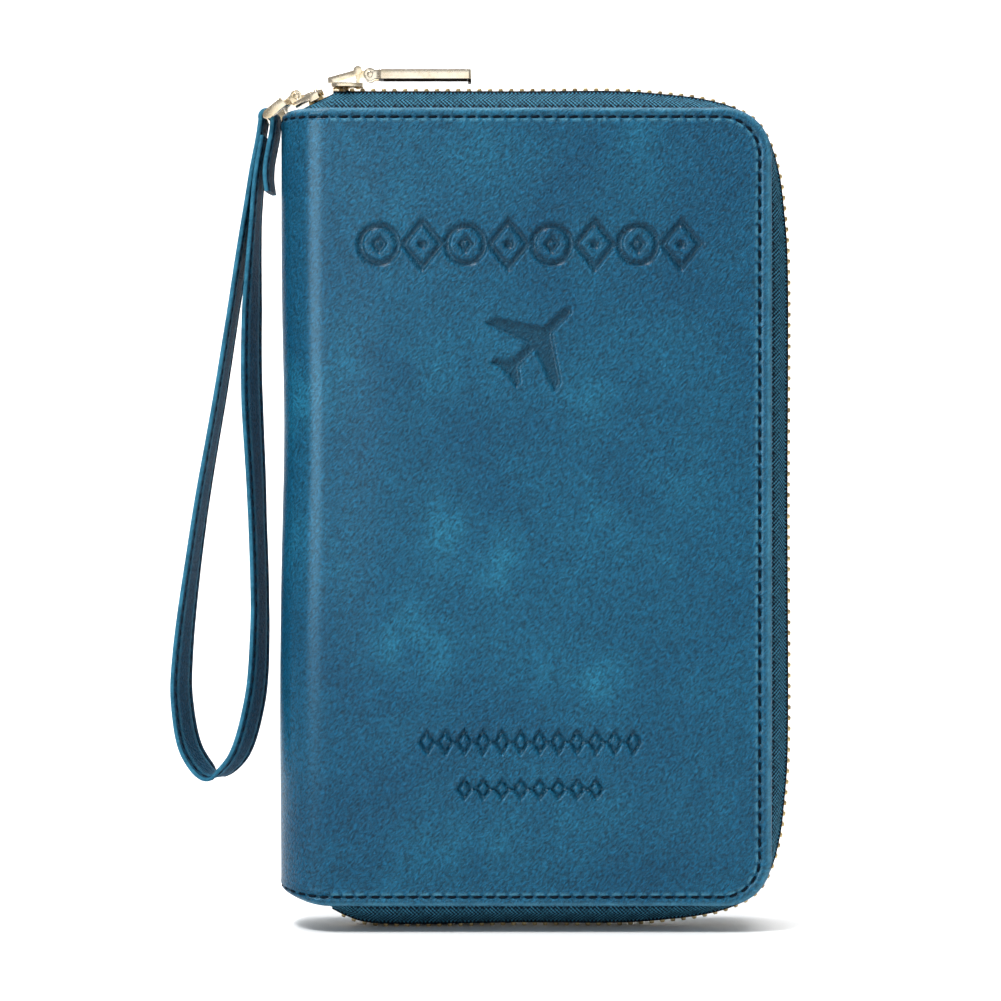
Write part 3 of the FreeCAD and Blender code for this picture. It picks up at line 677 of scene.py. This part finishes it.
def edge_row(order, press):
    """Depth below the face, darkening and wear of one row of the edge profile.
    press is 1 where a stitch presses the leather down and 0 between stitches."""
    inset_mm, depth_mm = EDGE_PROFILE[order]
    near_groove = bell(order, GROOVE_AT, 1.1)
    sunk = depth_mm * MM * (1 - 0.75 * near_groove * (1 - press)) + 0.14 * MM * press * near_groove
    pressed = 0.85 * near_groove * (0.35 + 0.65 * press)
    wear = bell(inset_mm, 0.55, 0.5) if depth_mm < EDGE_TURN else 0.0
    return sunk, pressed, wear


def painted_lip_highlight(order, along):
    """Painted highlight on both sides of the groove, in step with the stitches: lighter colour where the
    pushed-up leather catches the light.
    """
    inset_mm, depth_mm = EDGE_PROFILE[order]
    lip = 1.2 * bell(inset_mm, 3.05, 0.28) + 0.3 * bell(inset_mm, 1.8, 0.2)
    return lip * stitch_press(along + 0.18 * STITCH_PITCH) * (depth_mm < EDGE_TURN)


def cover_sheet(name, step, body, outer_y, inward, ornament, replaced):
    """Cover leather as one closed mesh: a fine face, a sewn and turned edge, and a plain inside.
    Returns the line of its stitches."""
    columns = int(round((FORE_X - FOLD_X) / step)) + 1
    rows = int(round(2 * TOP_Z / step)) + 1
    grid_x, grid_z = np.meshgrid(np.linspace(FOLD_X, FORE_X, columns), np.linspace(-TOP_Z, TOP_Z, rows))
    inset, out_x, out_z = inset_of(grid_x, grid_z)
    inside = inset >= RIM_INSET + 0.3 * step
    kept = inside[:-1, :-1] & inside[1:, :-1] & inside[:-1, 1:] & inside[1:, 1:]
    path = np.array(staircase(kept))
    flat = np.stack([grid_x.ravel(), grid_z.ravel()], 1)
    normal = np.stack([out_x.ravel(), out_z.ravel()], 1)[path]
    foot = flat[path] + normal * inset.ravel()[path, None]
    foot[[0, -1], 0] = FOLD_X

    def ring(inset_mm):
        distance = inset_mm * MM
        return foot - normal * (distance + groove_shift(distance, normal[:, 0]))[:, None]

    flat[path] = ring(EDGE_PROFILE[0][0])
    quads = grid_quads(rows, columns)[kept.ravel()]
    used = np.zeros(rows * columns, bool)
    used[quads.ravel()] = True
    index_of = np.cumsum(used) - 1
    x, z = flat[used].T
    fade = smooth_step(inset_of(x, z)[0], 5.2 * MM, 16 * MM) * smooth_step(x - FOLD_X, 0, 14 * MM)
    depth = swell(x, z) * fade - 0.22 * MM * fade
    pressed = np.zeros(len(x))
    if ornament:
        pressed, lip = pressed_depth(x, z)
        depth = depth + pressed * 0.62 * MM - lip * 0.08 * MM
    points = [upright(flat[used], outer_y + inward * depth)]
    values = [pressed]
    edges = [np.zeros(len(x))]
    seam_line = ring(EDGE_PROFILE[GROOVE_AT][0])
    along = lengths(seam_line)
    press = stitch_press(along)
    previous = index_of[path]
    left_column = index_of[[r * columns for r in range(rows) if used[r * columns]]]
    low_chain, high_chain = [left_column[0]], [left_column[-1]]
    faces = [tuple(q) for q in index_of[quads]]
    for order in range(1, len(EDGE_PROFILE)):
        sunk, dark, wear = edge_row(order, press)
        current = len(x) + (order - 1) * len(path) + np.arange(len(path))
        points.append(upright(ring(EDGE_PROFILE[order][0]), outer_y + inward * sunk))
        values.append(dark)
        # Edge wear, plus the painted highlight beside the stitch groove.
        edges.append(0.7 * wear + 0.85 * painted_lip_highlight(order, along))
        faces += list(zip(previous[:-1], previous[1:], current[1:], current[:-1]))
        low_chain.append(current[0])
        high_chain.append(current[-1])
        previous = current
    faces.append(tuple(previous))
    faces.append(tuple(low_chain[::-1] + list(left_column[1:-1]) + high_chain))
    points = np.concatenate(points)
    piece = make_piece(name, points, faces, COVER, body, [replaced])
    set_leather_values(piece, np.concatenate(values), np.concatenate(edges),
                       rubbed_amount(points[:, 0], points[:, 2]))
    return upright(seam_line, outer_y)


# ------ stitches


def stitch_shape():
    """One sunk stitch along +X: rounded ends that dip into the leather. (x, side, height)"""
    rings, sides = 9, 8
    points = []
    for share in np.linspace(-1, 1, rings):
        radius = THREAD_RADIUS * math.sqrt(max(0.06, 1 - share ** 4))
        lift = -0.5 * THREAD_RADIUS * share * share
        for turn in np.linspace(0, 2 * math.pi, sides, endpoint=False):
            points.append((share * STITCH_LENGTH / 2, radius * math.cos(turn),
                           lift + radius * math.sin(turn)))
    return np.array(points), tube_faces(rings, sides)


def stitch_row(name, line, outward, body, replaced=(), sunk=0.26 * MM):
    """Stitches along a line of points. outward is the leather's outward direction at each point."""
    shape, shape_faces = stitch_shape()
    along = lengths(line)
    centres = (np.arange(int(along[-1] / STITCH_PITCH)) + 0.5) * STITCH_PITCH
    where, direction = at_length(line, centres)
    out = unit(sample(outward, along, centres))
    side = np.cross(out, direction)
    points, faces = [], []
    for index in range(len(centres)):
        base = where[index] - out[index] * sunk
        lean = direction[index] + side[index] * 0.12
        points.append(base + shape[:, :1] * lean + shape[:, 1:2] * side[index] + shape[:, 2:] * out[index])
        faces += [tuple(i + index * len(shape) for i in f) for f in shape_faces]
    make_piece(name, np.concatenate(points), faces, THREAD, body, replaced)


# ------ spine leather


def spine_bulge(z, turn):
    """The spine leather stands out most below the middle and draws in above it."""
    height = z / TOP_Z
    bulge = 1.0 - 0.7 * bell(height, 0.2, 0.26) + 0.35 * bell(height, -0.5, 0.3)
    return bulge * MM * np.sin(turn) ** 2


def end_shift(z, turn):
    """The spine's ends ride up a little at mid depth, more at the bottom than at the top."""
    near_end = smooth_step(np.abs(z), TOP_Z - 16 * MM, TOP_Z)
    return near_end * np.sin(turn) ** 2 * (0.6 * MM if z > 0 else 1.5 * MM)


def end_curl(z, turn):
    """The turned edge bends in towards the middle of the spine."""
    inset = TOP_Z - abs(z)
    strength = 1.4 * MM if z > 0 else 3.0 * MM
    return strength * max(0.0, 1 - inset / (2.7 * MM)) ** 2 * np.sin(turn) ** 1.3


def spine_row(z, turn, sunk=0.0):
    """One row of the spine leather at a height, round the half circle from front to back."""
    radius = SPINE_RADIUS - sunk + spine_bulge(z, turn) - end_curl(z, turn)
    return np.stack([FOLD_X - radius * np.sin(turn), MID_Y - radius * np.cos(turn),
                     z + end_shift(z, turn)], 1)


def spine_sheet():
    """Half-round spine leather, with the same turned and sewn edge as the covers."""
    turn = np.linspace(0, math.pi, 97)
    press = stitch_press(turn * SPINE_RADIUS)
    orders = range(len(EDGE_PROFILE))
    outline = [(EDGE_PROFILE[order][0] * MM - TOP_Z, order) for order in orders[::-1]]
    outline += [(z, None) for z in np.linspace(-TOP_Z + RIM_INSET, TOP_Z - RIM_INSET, 150)[1:-1]]
    outline += [(TOP_Z - EDGE_PROFILE[order][0] * MM, order) for order in orders]
    points, pressed, edge = [], [], []
    for z, order in outline:
        sunk, dark, wear = (0.0, 0.0, 0.0) if order is None else edge_row(order, press)
        points.append(spine_row(z, turn, sunk))
        pressed.append(dark + np.zeros(len(turn)))
        edge.append(0.6 * wear + np.zeros(len(turn)))
    points = np.concatenate(points)
    piece = make_piece("spine_cover", points, band_faces(len(outline), len(turn)), COVER,
                       "spine", ["spine_leather", "spine_thread"])
    set_leather_values(piece, np.concatenate(pressed), np.concatenate(edge),
                       rubbed_amount(points[:, 0], points[:, 2]))
    outward = np.stack([-np.sin(turn), -np.cos(turn), 0 * turn], 1)
    for sign, label in ((1, "top"), (-1, "bottom")):
        line = spine_row(sign * (TOP_Z - GROOVE_INSET), turn)
        stitch_row("spine_stitches_" + label, line, outward, "spine")


def spine_lining():
    """Half-round lining cloth inside the spine."""
    turn = np.linspace(0.01, math.pi - 0.01, 49)
    heights = np.linspace(LINING_INSET - TOP_Z, TOP_Z - LINING_INSET, 90)
    outer = SPINE_RADIUS - SHELL - 0.05 * MM
    inner = outer - 0.3 * MM
    loop = [(outer, z) for z in heights] + [(inner, z) for z in heights[::-1]]
    points = [(FOLD_X - radius * math.sin(t) - 0.05 * MM, MID_Y - radius * math.cos(t), z)
              for radius, z in loop for t in turn]
    make_piece("spine_lining_cloth", points, band_faces(len(loop), len(turn)), CLOTH,
               "spine", ["spine_lining"])


# ------ zip tape and teeth


RIB_PITCH = 1.1 * MM
RIB_HEIGHT = 0.16 * MM


def ribs(u, v, width):
    """Herringbone ribs of the tape: slanted one way near the cover and the other near the teeth."""
    folded = np.abs(v - 0.5 * width)
    wave = 0.5 + 0.5 * np.sin(2 * math.pi * (u + 0.75 * folded) / RIB_PITCH)
    return wave ** 0.7


def seam_dots(u, share):
    """Small dark pits of the seam that holds the tape, close to the cover's edge."""
    phase = (u / (1.65 * MM)) % 1.0
    return 1.6 * bell(phase, 0.5, 0.2) * bell(share, 0.24, 0.035)


def tape_strip(name, foot, top, out, along, width, across, bulge, cord, dots, body, replaced):
    """Closed tape between a foot line in the leather's edge and a top line at the teeth.
    It bulges along out, with a corded edge of the given (height, width) at the teeth. dots is 1
    where the seam's pits show."""
    points, uvs, rib_values = [], [], []

    def add_row(share, lift, rib):
        points.append(foot * (1 - share) + top * share + out * lift[:, None])
        uvs.append(np.stack([along, np.full(len(along), share * width)], 1))
        rib_values.append(rib)

    for share in np.linspace(0, 1, across):
        rib = ribs(along, share * width, width) * (0.04 < share < 0.9) - dots * seam_dots(along, share)
        rounding = bulge * math.sin(math.pi * share) + cord[0] * bell(share, 0.95, cord[1])
        add_row(share, rounding + RIB_HEIGHT * rib, rib)
    for share in np.linspace(1, 0, 6):
        inner = bulge * math.sin(math.pi * share) - TAPE_THICKNESS
        add_row(share, np.full(len(along), inner), np.zeros(len(along)))
    piece = make_piece(name, np.concatenate(points), band_faces(len(points), len(along)), TAPE,
                       body, [replaced])
    set_uv(piece, np.concatenate(uvs))
    # The rib value also sets the painted highlight and shade in the tape's colour.
    set_point_value(piece, "rib", np.concatenate(rib_values))


def cover_tape(side, label):
    """Tape of one cover. side is -1 at the front and 1 at the back."""
    line = chain_line(0.3 * MM)
    heading = unit(np.gradient(line, axis=0))
    foot = upright(nearest_on_cover(line, 1.0 * MM), MID_Y + side * TAPE_FOOT_RADIUS)
    top = upright(line, MID_Y + side * TAPE_TOP_HALF)
    out = upright(np.stack([heading[:, 1], -heading[:, 0]], 1), 0.0)
    width = np.linalg.norm((top - foot).mean(0)) + 1.0 * MM
    tape_strip(label + "_zip_tape", foot, top, out, lengths(line), width, 34, 0.55 * MM,
               (0.75 * MM, 0.06), 1, label + "_half", label + "_tape")


# Sections of one tooth from its foot to its head: (away from mid depth, half length along the chain,
# half height) in millimetres.
TOOTH_SECTIONS = [
    (3.12, 0.30, 0.95), (3.0, 0.52, 1.15), (2.7, 0.62, 1.25), (1.9, 0.64, 1.25), (1.35, 0.66, 1.2),
    (1.05, 0.8, 1.08), (0.65, 0.8, 1.0), (0.42, 0.62, 0.8), (0.36, 0.4, 0.55),
]


def tooth_shape():
    """One metal tooth with rounded corners: x along the chain, y away from mid depth, z outwards."""
    sides = 16
    squareness = 0.45
    points = []
    for y, half_x, half_z in TOOTH_SECTIONS:
        for k in range(sides):
            turn = 2 * math.pi * (k + 0.5) / sides
            c, s = math.cos(turn), math.sin(turn)
            points.append((half_x * math.copysign(abs(c) ** squareness, c), y,
                           half_z * math.copysign(abs(s) ** squareness, s)))
    return np.array(points) * MM, tube_faces(len(TOOTH_SECTIONS), sides)


def place_teeth(name, where, direction, side, body, replaced):
    """Teeth at (x, z) places, each turned to lie along its direction."""
    shape, shape_faces = tooth_shape()
    points, faces = [], []
    for index, ((x, z), (tx, tz)) in enumerate(zip(where, direction)):
        points.append(np.stack([x + shape[:, 0] * tx + shape[:, 2] * tz, MID_Y + side * shape[:, 1],
                                z + shape[:, 0] * tz - shape[:, 2] * tx], 1))
        faces += [tuple(i + index * len(shape) for i in f) for f in shape_faces]
    make_piece(name, np.concatenate(points), faces, TEETH, body, replaced, sharp=40)


def cover_teeth():
    """Both rows of teeth, half a pitch apart."""
    chain = chain_line(0.2 * MM)
    total = lengths(chain)[-1]
    count = int(total / (TOOTH_PITCH / 2))
    where, direction = at_length(chain, (np.arange(count) + 0.5) * total / count)
    for side, first, label in ((1, 1, "back"), (-1, 2, "front")):
        row = slice(first, -1, 2)
        place_teeth(label + "_zip_teeth", where[row], direction[row], side, label + "_half",
                    [label + "_teeth"])


def spine_hood(label):
    """Tape end from inside the spine up to the sloping end of the chain."""
    height, slope, reach = CHAIN_ENDS[label]
    sign = 1 if label == "top" else -1
    count = 180
    turn = np.linspace(0, math.pi, count)
    foot = np.stack([FOLD_X - TAPE_FOOT_RADIUS * np.sin(turn), MID_Y - TAPE_FOOT_RADIUS * np.cos(turn),
                     np.full(count, sign * (TOP_Z - 1.0 * MM))], 1)
    # The top line runs straight out along the front teeth, round their ends and straight back.
    straight = reach / (2 * reach + math.pi * TAPE_TOP_HALF)
    share = np.linspace(0, 1, count)
    around = np.clip((share - straight) / (1 - 2 * straight), 0, 1) * math.pi
    out_of_fold = reach * np.minimum(1, np.minimum(share, 1 - share) / straight)
    x = FOLD_X - out_of_fold - 0.65 * TAPE_TOP_HALF * np.sin(around)
    top = np.stack([x, MID_Y - TAPE_TOP_HALF * np.cos(around), height + slope * (x - FOLD_X)], 1)
    out = np.tile([0.0, 0.0, float(sign)], (count, 1))
    tape_strip("spine_zip_tape_" + label, foot, top, out, lengths(foot), 9 * MM, 26, 0.5 * MM,
               (0.3 * MM, 0.05), 0, "spine", "spine_tape_" + label)


def spine_teeth():
    """The last few teeth on each sloping end."""
    first_tooth = 1.75 * MM
    counts = {"front": {"top": 2, "bottom": 0}, "back": {"top": 2, "bottom": 1}}
    for side, name, shift, replaced in ((1, "back", 0.0, ["spine_teeth"]), (-1, "front", 0.5, [])):
        where, direction = [], []
        for label, count in counts[name].items():
            height, slope, _ = CHAIN_ENDS[label]
            heading = np.array([1.0, slope]) / math.hypot(1, slope) * (1 if label == "top" else -1)
            for index in range(count):
                back = first_tooth + (index + shift) * TOOTH_PITCH * abs(heading[0])
                where.append((FOLD_X - back, height - slope * back))
                direction.append(heading)
        place_teeth("spine_zip_teeth_" + name, where, direction, side, "spine", replaced)


# ------ metal hardware


def rounded_copy(node, body, width, material):
    """Piece with a CAD node's exact shape and its sharp edges rounded over."""
    edit = bmesh.new()
    edit.from_mesh(frame["nodes"][node].data)
    bmesh.ops.remove_doubles(edit, verts=edit.verts, dist=0.005 * MM)
    bmesh.ops.dissolve_limit(edit, angle_limit=math.radians(1.5), verts=edit.verts, edges=edit.edges)
    mesh = bpy.data.meshes.new(node + "_round")
    edit.to_mesh(mesh)
    edit.free()
    piece = bpy.data.objects.new(node + "_piece", mesh)
    bpy.context.scene.collection.objects.link(piece)
    bevel = piece.modifiers.new("edges", "BEVEL")
    bevel.width = width
    bevel.segments = 3
    bevel.limit_method = "ANGLE"
    bevel.angle_limit = math.radians(28)
    bpy.context.view_layer.update()
    shown = piece.evaluated_get(bpy.context.evaluated_depsgraph_get())
    final = bpy.data.meshes.new_from_object(shown)
    piece.modifiers.clear()
    piece.data = final
    final.shade_smooth()
    final.set_sharp_from_angle(angle=math.radians(35))
    final.materials.clear()
    final.materials.append(material)
    join_model(piece, body, [node])


# (CAD node, body, width of the rounding in mm)
HARDWARE = [
    ("pull_slider", "pull_slider", 0.28), ("pull_slider_crown", "pull_slider", 0.22),
    ("long_pull", "long_pull", 0.25), ("long_pull_pin", "long_pull", 0.12),
    ("strap_slider", "spine", 0.28), ("strap_slider_crown", "spine", 0.22),
    ("strap_pull", "strap_pull", 0.3), ("strap_pull_pin", "strap_pull", 0.12),
    ("zip_end_stop", "spine", 0.15),
]


# ------ wrist strap


def strap_middle():
    """Middle line of the strap in the XZ plane: tail, over the bar, round the loop and back up.
    Its points are millimetres from the bar."""
    turn = np.radians(np.linspace(-12, 196, 15))
    over = BAR_WRAP * np.stack([np.cos(turn), np.sin(turn)], 1)
    tail = [(0.2, -18.8), (-0.25, -15.2), (-0.1, -11.5), (0.5, -8.0), (1.35, -3.6)]
    drop = [
        (-2.0, -3.6), (-4.2, -17.8), (-7.0, -34.5), (-12.4, -69.0), (-18.0, -102.3), (-22.2, -136.7),
        (-22.4, -148.7), (-19.6, -162.0), (-14.3, -167.6), (-8.6, -163.6), (-4.0, -149.7),
        (-2.5, -131.0), (-3.3, -96.3), (-4.6, -66.6), (-4.3, -42.6), (-2.8, -15.6), (-1.1, -4.8),
    ]
    before, after = np.array(tail) * MM, np.array(drop) * MM
    return smooth_line(np.concatenate([before, over, after]) + [BAR_X, BAR_Z], 900)


# Twist of the strap in degrees by share of its length: tail, left strand, bottom, right strand.
STRAP_TWIST = [
    (0.0, 6), (0.05, 5), (0.08, 3), (0.105, 8), (0.2, 6), (0.3, 8), (0.38, 12), (0.45, 19),
    (0.53, 25), (0.6, 23), (0.67, 17), (0.73, 17), (0.81, 22), (0.88, 19), (0.94, 7), (1.0, 5),
]


def strap_frame(line):
    """Across and outward directions of the strap at each point: it twists towards the bottom."""
    tangent = upright(unit(np.gradient(line, axis=0)), 0.0)
    along = lengths(line)
    twist = np.radians(np.interp(along / along[-1], *zip(*STRAP_TWIST)))
    across = np.stack([np.sin(twist), np.cos(twist), 0 * twist], 1)
    across = unit(across - tangent * np.sum(across * tangent, 1)[:, None])
    return across, np.cross(tangent, across)


def strap_section():
    """Closed outline of the strap's cross-section as (across, thickness, pressed) in metres."""
    w, h = STRAP_HALF_WIDTH, STRAP_HALF_THICKNESS
    half_face = [w - inset * MM for inset in (0.55, 1.1, 1.3, 1.6, 1.9, 2.4, 3.6)]
    face = [-value for value in half_face] + [0.0] + half_face[::-1]
    end_radius = 0.55 * MM
    rows = []
    for side in (1, -1):
        for value in face[::side]:
            dip = bell(abs(value), w - STRAP_GROOVE, 0.3 * MM)
            crown = 0.12 * MM * (1 - (value / w) ** 2)
            rows.append((value, side * (h + crown - 0.28 * MM * dip), dip))
        for turn in np.radians(np.linspace(90, -90, 7)[1:-1]):
            rows.append((side * (w - end_radius + end_radius * math.cos(turn)),
                         side * h * math.sin(turn), 0.0))
    return rows


def strap_piece():
    """The whole strap as one twisted band, with its stitch rows as separate thread."""
    line = strap_middle()
    across, out = strap_frame(line)
    centre = upright(line, MID_Y)
    along = lengths(line)
    section = strap_section()
    points, pressed, edge = [], [], []
    for a, h, dip in section:
        ripple = 1 + 0.25 * np.sin(2 * math.pi * along / STITCH_PITCH) * dip
        points.append(centre + across * a + out * h * ripple[:, None])
        pressed.append(np.full(len(line), 0.6 * dip))
        # The rim takes the colour of its edge paint; a painted highlight beside each stitch groove takes
        # the same colour.
        painted_groove_highlight = 0.45 * bell(abs(a), STRAP_HALF_WIDTH - 2.4 * MM, 0.3 * MM)
        edge.append(np.full(len(line), 0.9 if abs(a) > STRAP_HALF_WIDTH - 0.5 * MM else painted_groove_highlight))
    points = np.concatenate(points)
    piece = make_piece("wrist_strap", points, band_faces(len(section), len(line)), STRAP,
                       "strap", ["strap_loop", "strap_tail"])
    set_leather_values(piece, np.concatenate(pressed), np.concatenate(edge), np.zeros(len(points)))
    for side, label in ((1, "back"), (-1, "front")):
        for face_side, face_label in ((1, "a"), (-1, "b")):
            row = centre + across * side * (STRAP_HALF_WIDTH - STRAP_GROOVE)
            row = row + out * face_side * STRAP_HALF_THICKNESS
            stitch_row(f"strap_stitches_{label}_{face_label}", row, out * face_side, "strap",
                       sunk=0.12 * MM)


# ------ linings and pockets


def soft_panel(name, node, wall_y, outward, room, thickness, body, material, corner=4 * MM,
               ripple=0.12 * MM):
    """Sheet over a CAD pocket, sewn down on three sides, that bulges by room and is open at the top.
    outward is the depth direction away from the wall it is sewn to."""
    low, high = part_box(node)
    columns, rows = 110, int(110 * (high.z - low.z) / (high.x - low.x))
    x, z = np.meshgrid(np.linspace(low.x, high.x, columns), np.linspace(low.z, high.z, rows))
    from_edge = np.minimum(np.minimum(x - low.x, high.x - x), z - low.z)
    fill = smooth_step(from_edge, 0.3 * MM, max(corner, room * 1.6))
    waves = np.sin(95 * x + 1.3) * np.sin(60 * z) + 0.5 * np.sin(170 * z + 80 * x)
    lift = room * fill + ripple * waves * smooth_step(from_edge, 2 * MM, 12 * MM)
    groove = 0.15 * MM * bell(from_edge, 2.0 * MM, 0.5 * MM)
    hem = 0.25 * MM * smooth_step(z, high.z - 3.2 * MM, high.z - 2.6 * MM)
    outer = wall_y + outward * (thickness + lift - groove + hem)
    inner = wall_y + outward * np.maximum(lift, 0)
    points = np.concatenate([np.stack([x, y, z], -1).reshape(-1, 3) for y in (outer, inner)])
    count = rows * columns
    faces = [tuple(q) for start in (0, count) for q in grid_quads(rows, columns, start=start)]
    index = np.arange(count).reshape(rows, columns)
    border = np.concatenate([index[0, :], index[1:, -1], index[-1, -2::-1], index[-2:0:-1, 0]])
    after = np.roll(border, -1)
    faces += list(zip(border, after, after + count, border + count))
    piece = make_piece(name, points, faces, material, body, [node])
    plain = np.zeros(len(points))
    set_leather_values(piece, plain, plain, plain)


def pocket_stitches(name, node, y, outward, body):
    """Stitch row down one side of a pocket, along its bottom and up the other side."""
    low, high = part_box(node)
    inset = 2.0 * MM
    left, right, foot, top = low.x + inset, high.x - inset, low.z + inset, high.z - inset
    corners = np.array([(left, y, top), (left, y, foot), (right, y, foot), (right, y, top)])
    line = np.concatenate([np.linspace(a, b, 200) for a, b in zip(corners, corners[1:])])
    facing = np.tile([0.0, outward, 0.0], (len(line), 1))
    stitch_row(name, line, facing, body, sunk=0.05 * MM)


def lining_outline():
    """The lining's outline: along the bottom, up the fore edge, back along the top, down the fold."""
    right, top = FORE_X - LINING_INSET, TOP_Z - LINING_INSET
    radius = COVER_CORNER - LINING_INSET
    flat, tall = right - radius, top - radius
    runs = [
        np.linspace((FOLD_X, -top), (flat, -top), 43),
        arc_points(flat, -tall, radius, -90, 0, 16),
        np.linspace((right, -tall), (right, tall), 71),
        arc_points(flat, tall, radius, 0, 90, 16),
        np.linspace((flat, top), (FOLD_X, top), 43),
        np.linspace((FOLD_X, top), (FOLD_X, -top), 60),
    ]
    return np.concatenate([run[:-1] for run in runs])


def lining_sheet(side, label):
    """Lining cloth glued inside a cover, following its rounded outline."""
    wall = MID_Y + side * (SPINE_RADIUS - SHELL)
    outline = lining_outline()
    centre = np.array([(FORE_X + FOLD_X) / 2, 0.0])
    points = [upright(outline, wall - side * 0.04 * MM)]
    for share in np.linspace(1, 0, 26)[:-1]:
        loop = upright(centre + (outline - centre) * share, wall - side * 0.3 * MM)
        loop[:, 1] -= side * 0.05 * MM * np.sin(130 * loop[:, 0]) * np.sin(90 * loop[:, 2] + 0.7)
        points.append(loop)
    make_piece(label + "_lining_cloth", np.concatenate(points), tube_faces(len(points), len(outline)),
               CLOTH, label + "_half", [label + "_lining"])


def inside_pieces():
    """Linings, pocket sheets and card slots, seen when the wallet is open."""
    lining_sheet(-1, "front")
    lining_sheet(1, "back")
    wall = FRONT_Y + SHELL + 0.35 * MM
    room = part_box("passport_pocket")[1].y - wall - 1.0 * MM
    soft_panel("passport_pocket_sheet", "passport_pocket", wall, 1, room, 0.8 * MM, "front_half", POCKET,
               corner=5 * MM)
    pocket_stitches("passport_pocket_stitches", "passport_pocket", FRONT_Y + SHELL + 1.3 * MM, 1,
                    "front_half")
    soft_panel("ticket_pocket_sheet", "ticket_pocket", BACK_Y - SHELL - 0.35 * MM, -1, 0.7 * MM,
               0.5 * MM, "back_half", CLOTH, ripple=0.06 * MM)
    for label in ("top", "middle", "bottom"):
        node = "card_slot_" + label
        soft_panel("card_slot_sheet_" + label, node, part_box(node)[1].y, -1, 0.8 * MM, 0.5 * MM,
                   "back_half", POCKET, ripple=0.03 * MM)
    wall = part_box("card_slot_bottom")[1].y
    pocket_stitches("card_slot_stitches", "card_slot_bottom", wall - 0.45 * MM, -1, "back_half")


# ------ build


def build():
    fine = 0.36 * MM
    for side, label, outer_y, step in ((-1, "front", FRONT_Y, fine), (1, "back", BACK_Y, 0.7 * MM)):
        body = label + "_half"
        line = cover_sheet(label + "_cover", step, body, outer_y, -side, side < 0, label + "_leather")
        outward = np.tile([0.0, float(side), 0.0], (len(line), 1))
        stitch_row(label + "_stitches", line, outward, body, [label + "_thread"])
        cover_tape(side, label)
    spine_sheet()
    spine_lining()
    cover_teeth()
    spine_hood("top")
    spine_hood("bottom")
    spine_teeth()
    for node, body, width in HARDWARE:
        metal = SHADED_PULL_GOLD if node == "long_pull" else GOLD
        rounded_copy(node, body, width * MM, metal)
    strap_piece()
    inside_pieces()
    for node in ("front_board", "back_board", "spine_board"):
        frame["nodes"][node].data.materials.clear()
        frame["nodes"][node].data.materials.append(BOARD)


# ------ floor, light and camera


def floor():
    """Pale floor that rises into a backdrop."""
    floor_z = TEETH_LOW.z - 0.3 * MM
    profile = [(-1.6, 0.0), (0.5, 0.0), (0.9, 0.05), (1.15, 0.25), (1.25, 0.7), (1.25, 2.4)]
    across = np.linspace(-2.2, 2.2, 9)
    points = [(x, y, floor_z + z) for y, z in profile for x in across]
    n = Nodes("floor")
    n.bump(n.noise(300, 2.0), 0.02, 0.05 * MM)
    paint = n.finish(Base_Color=(0.93, 0.93, 0.93), Roughness=0.7)
    make_piece("floor", points, grid_quads(len(profile), len(across)), paint, None)


def studio():
    """Floor, soft lights and two cards that only the leather reflects."""
    floor()
    world = bpy.data.worlds.new("studio")
    bpy.context.scene.world = world
    world.use_nodes = True
    background = world.node_tree.nodes["Background"]
    background.inputs["Color"].default_value = (1, 1, 1, 1)
    background.inputs["Strength"].default_value = 0.27
    spine_card = soft_light("spine_card", (-0.72, -0.92, 0.1), (-0.05, 0, 0), 0.46, 1.5, 44)
    spine_card.data.color = (0.55, 0.85, 1.0)
    spine_fade = soft_light("spine_fade", (-0.32, -1.12, 0.1), (-0.05, 0, 0), 0.4, 1.5, 6)
    leather_only = bpy.data.collections.new("leather_only")
    for name in ("front_cover", "spine_cover", "back_cover"):
        leather_only.objects.link(bpy.data.objects[name])
    for card in (spine_card, spine_fade):
        card.visible_diffuse = False
        card.light_linking.receiver_collection = leather_only
    soft_light("raking", (-0.42, -0.42, 1.15), (0, 0, 0), 0.28, 0.28, 13)
    soft_light("front_card", (0.1, -1.5, 0.1), (0, 0, 0), 0.8, 1.0, 2.35)
    soft_light("top", (0.0, 0.0, 1.3), (0, 0.05, -0.1), 1.4, 1.2, 15)
    soft_light("back_wash", (0.0, 0.55, 1.0), (0, 1.2, 0.2), 1.8, 0.8, 15)


def soft_light(name, place, aim, width, height, power):
    """Rectangular light at a place, turned towards its aim. Metres and watts."""
    data = bpy.data.lights.new(name, "AREA")
    data.shape = "RECTANGLE"
    data.size = width
    data.size_y = height
    data.energy = power
    light = bpy.data.objects.new(name, data)
    light.location = place
    light.rotation_euler = (Vector(aim) - Vector(place)).to_track_quat("-Z", "Y").to_euler()
    bpy.context.scene.collection.objects.link(light)
    return light


def camera():
    """Straight-on view of the front cover, a little left of its middle."""
    view_width = 250.25 * MM
    distance = 550 * MM
    data = bpy.data.cameras.new("view")
    data.sensor_width = 36
    data.lens = 36 * distance / view_width
    data.clip_start = 0.01
    seen = bpy.data.objects.new("view", data)
    seen.location = (-6.5 * MM, FRONT_Y - distance, 1.6 * MM)
    seen.rotation_euler = (math.radians(90), 0, 0)
    bpy.context.scene.collection.objects.link(seen)
    bpy.context.scene.camera = seen


build()
studio()
camera()
bpy.context.scene.view_settings.view_transform = "Standard"
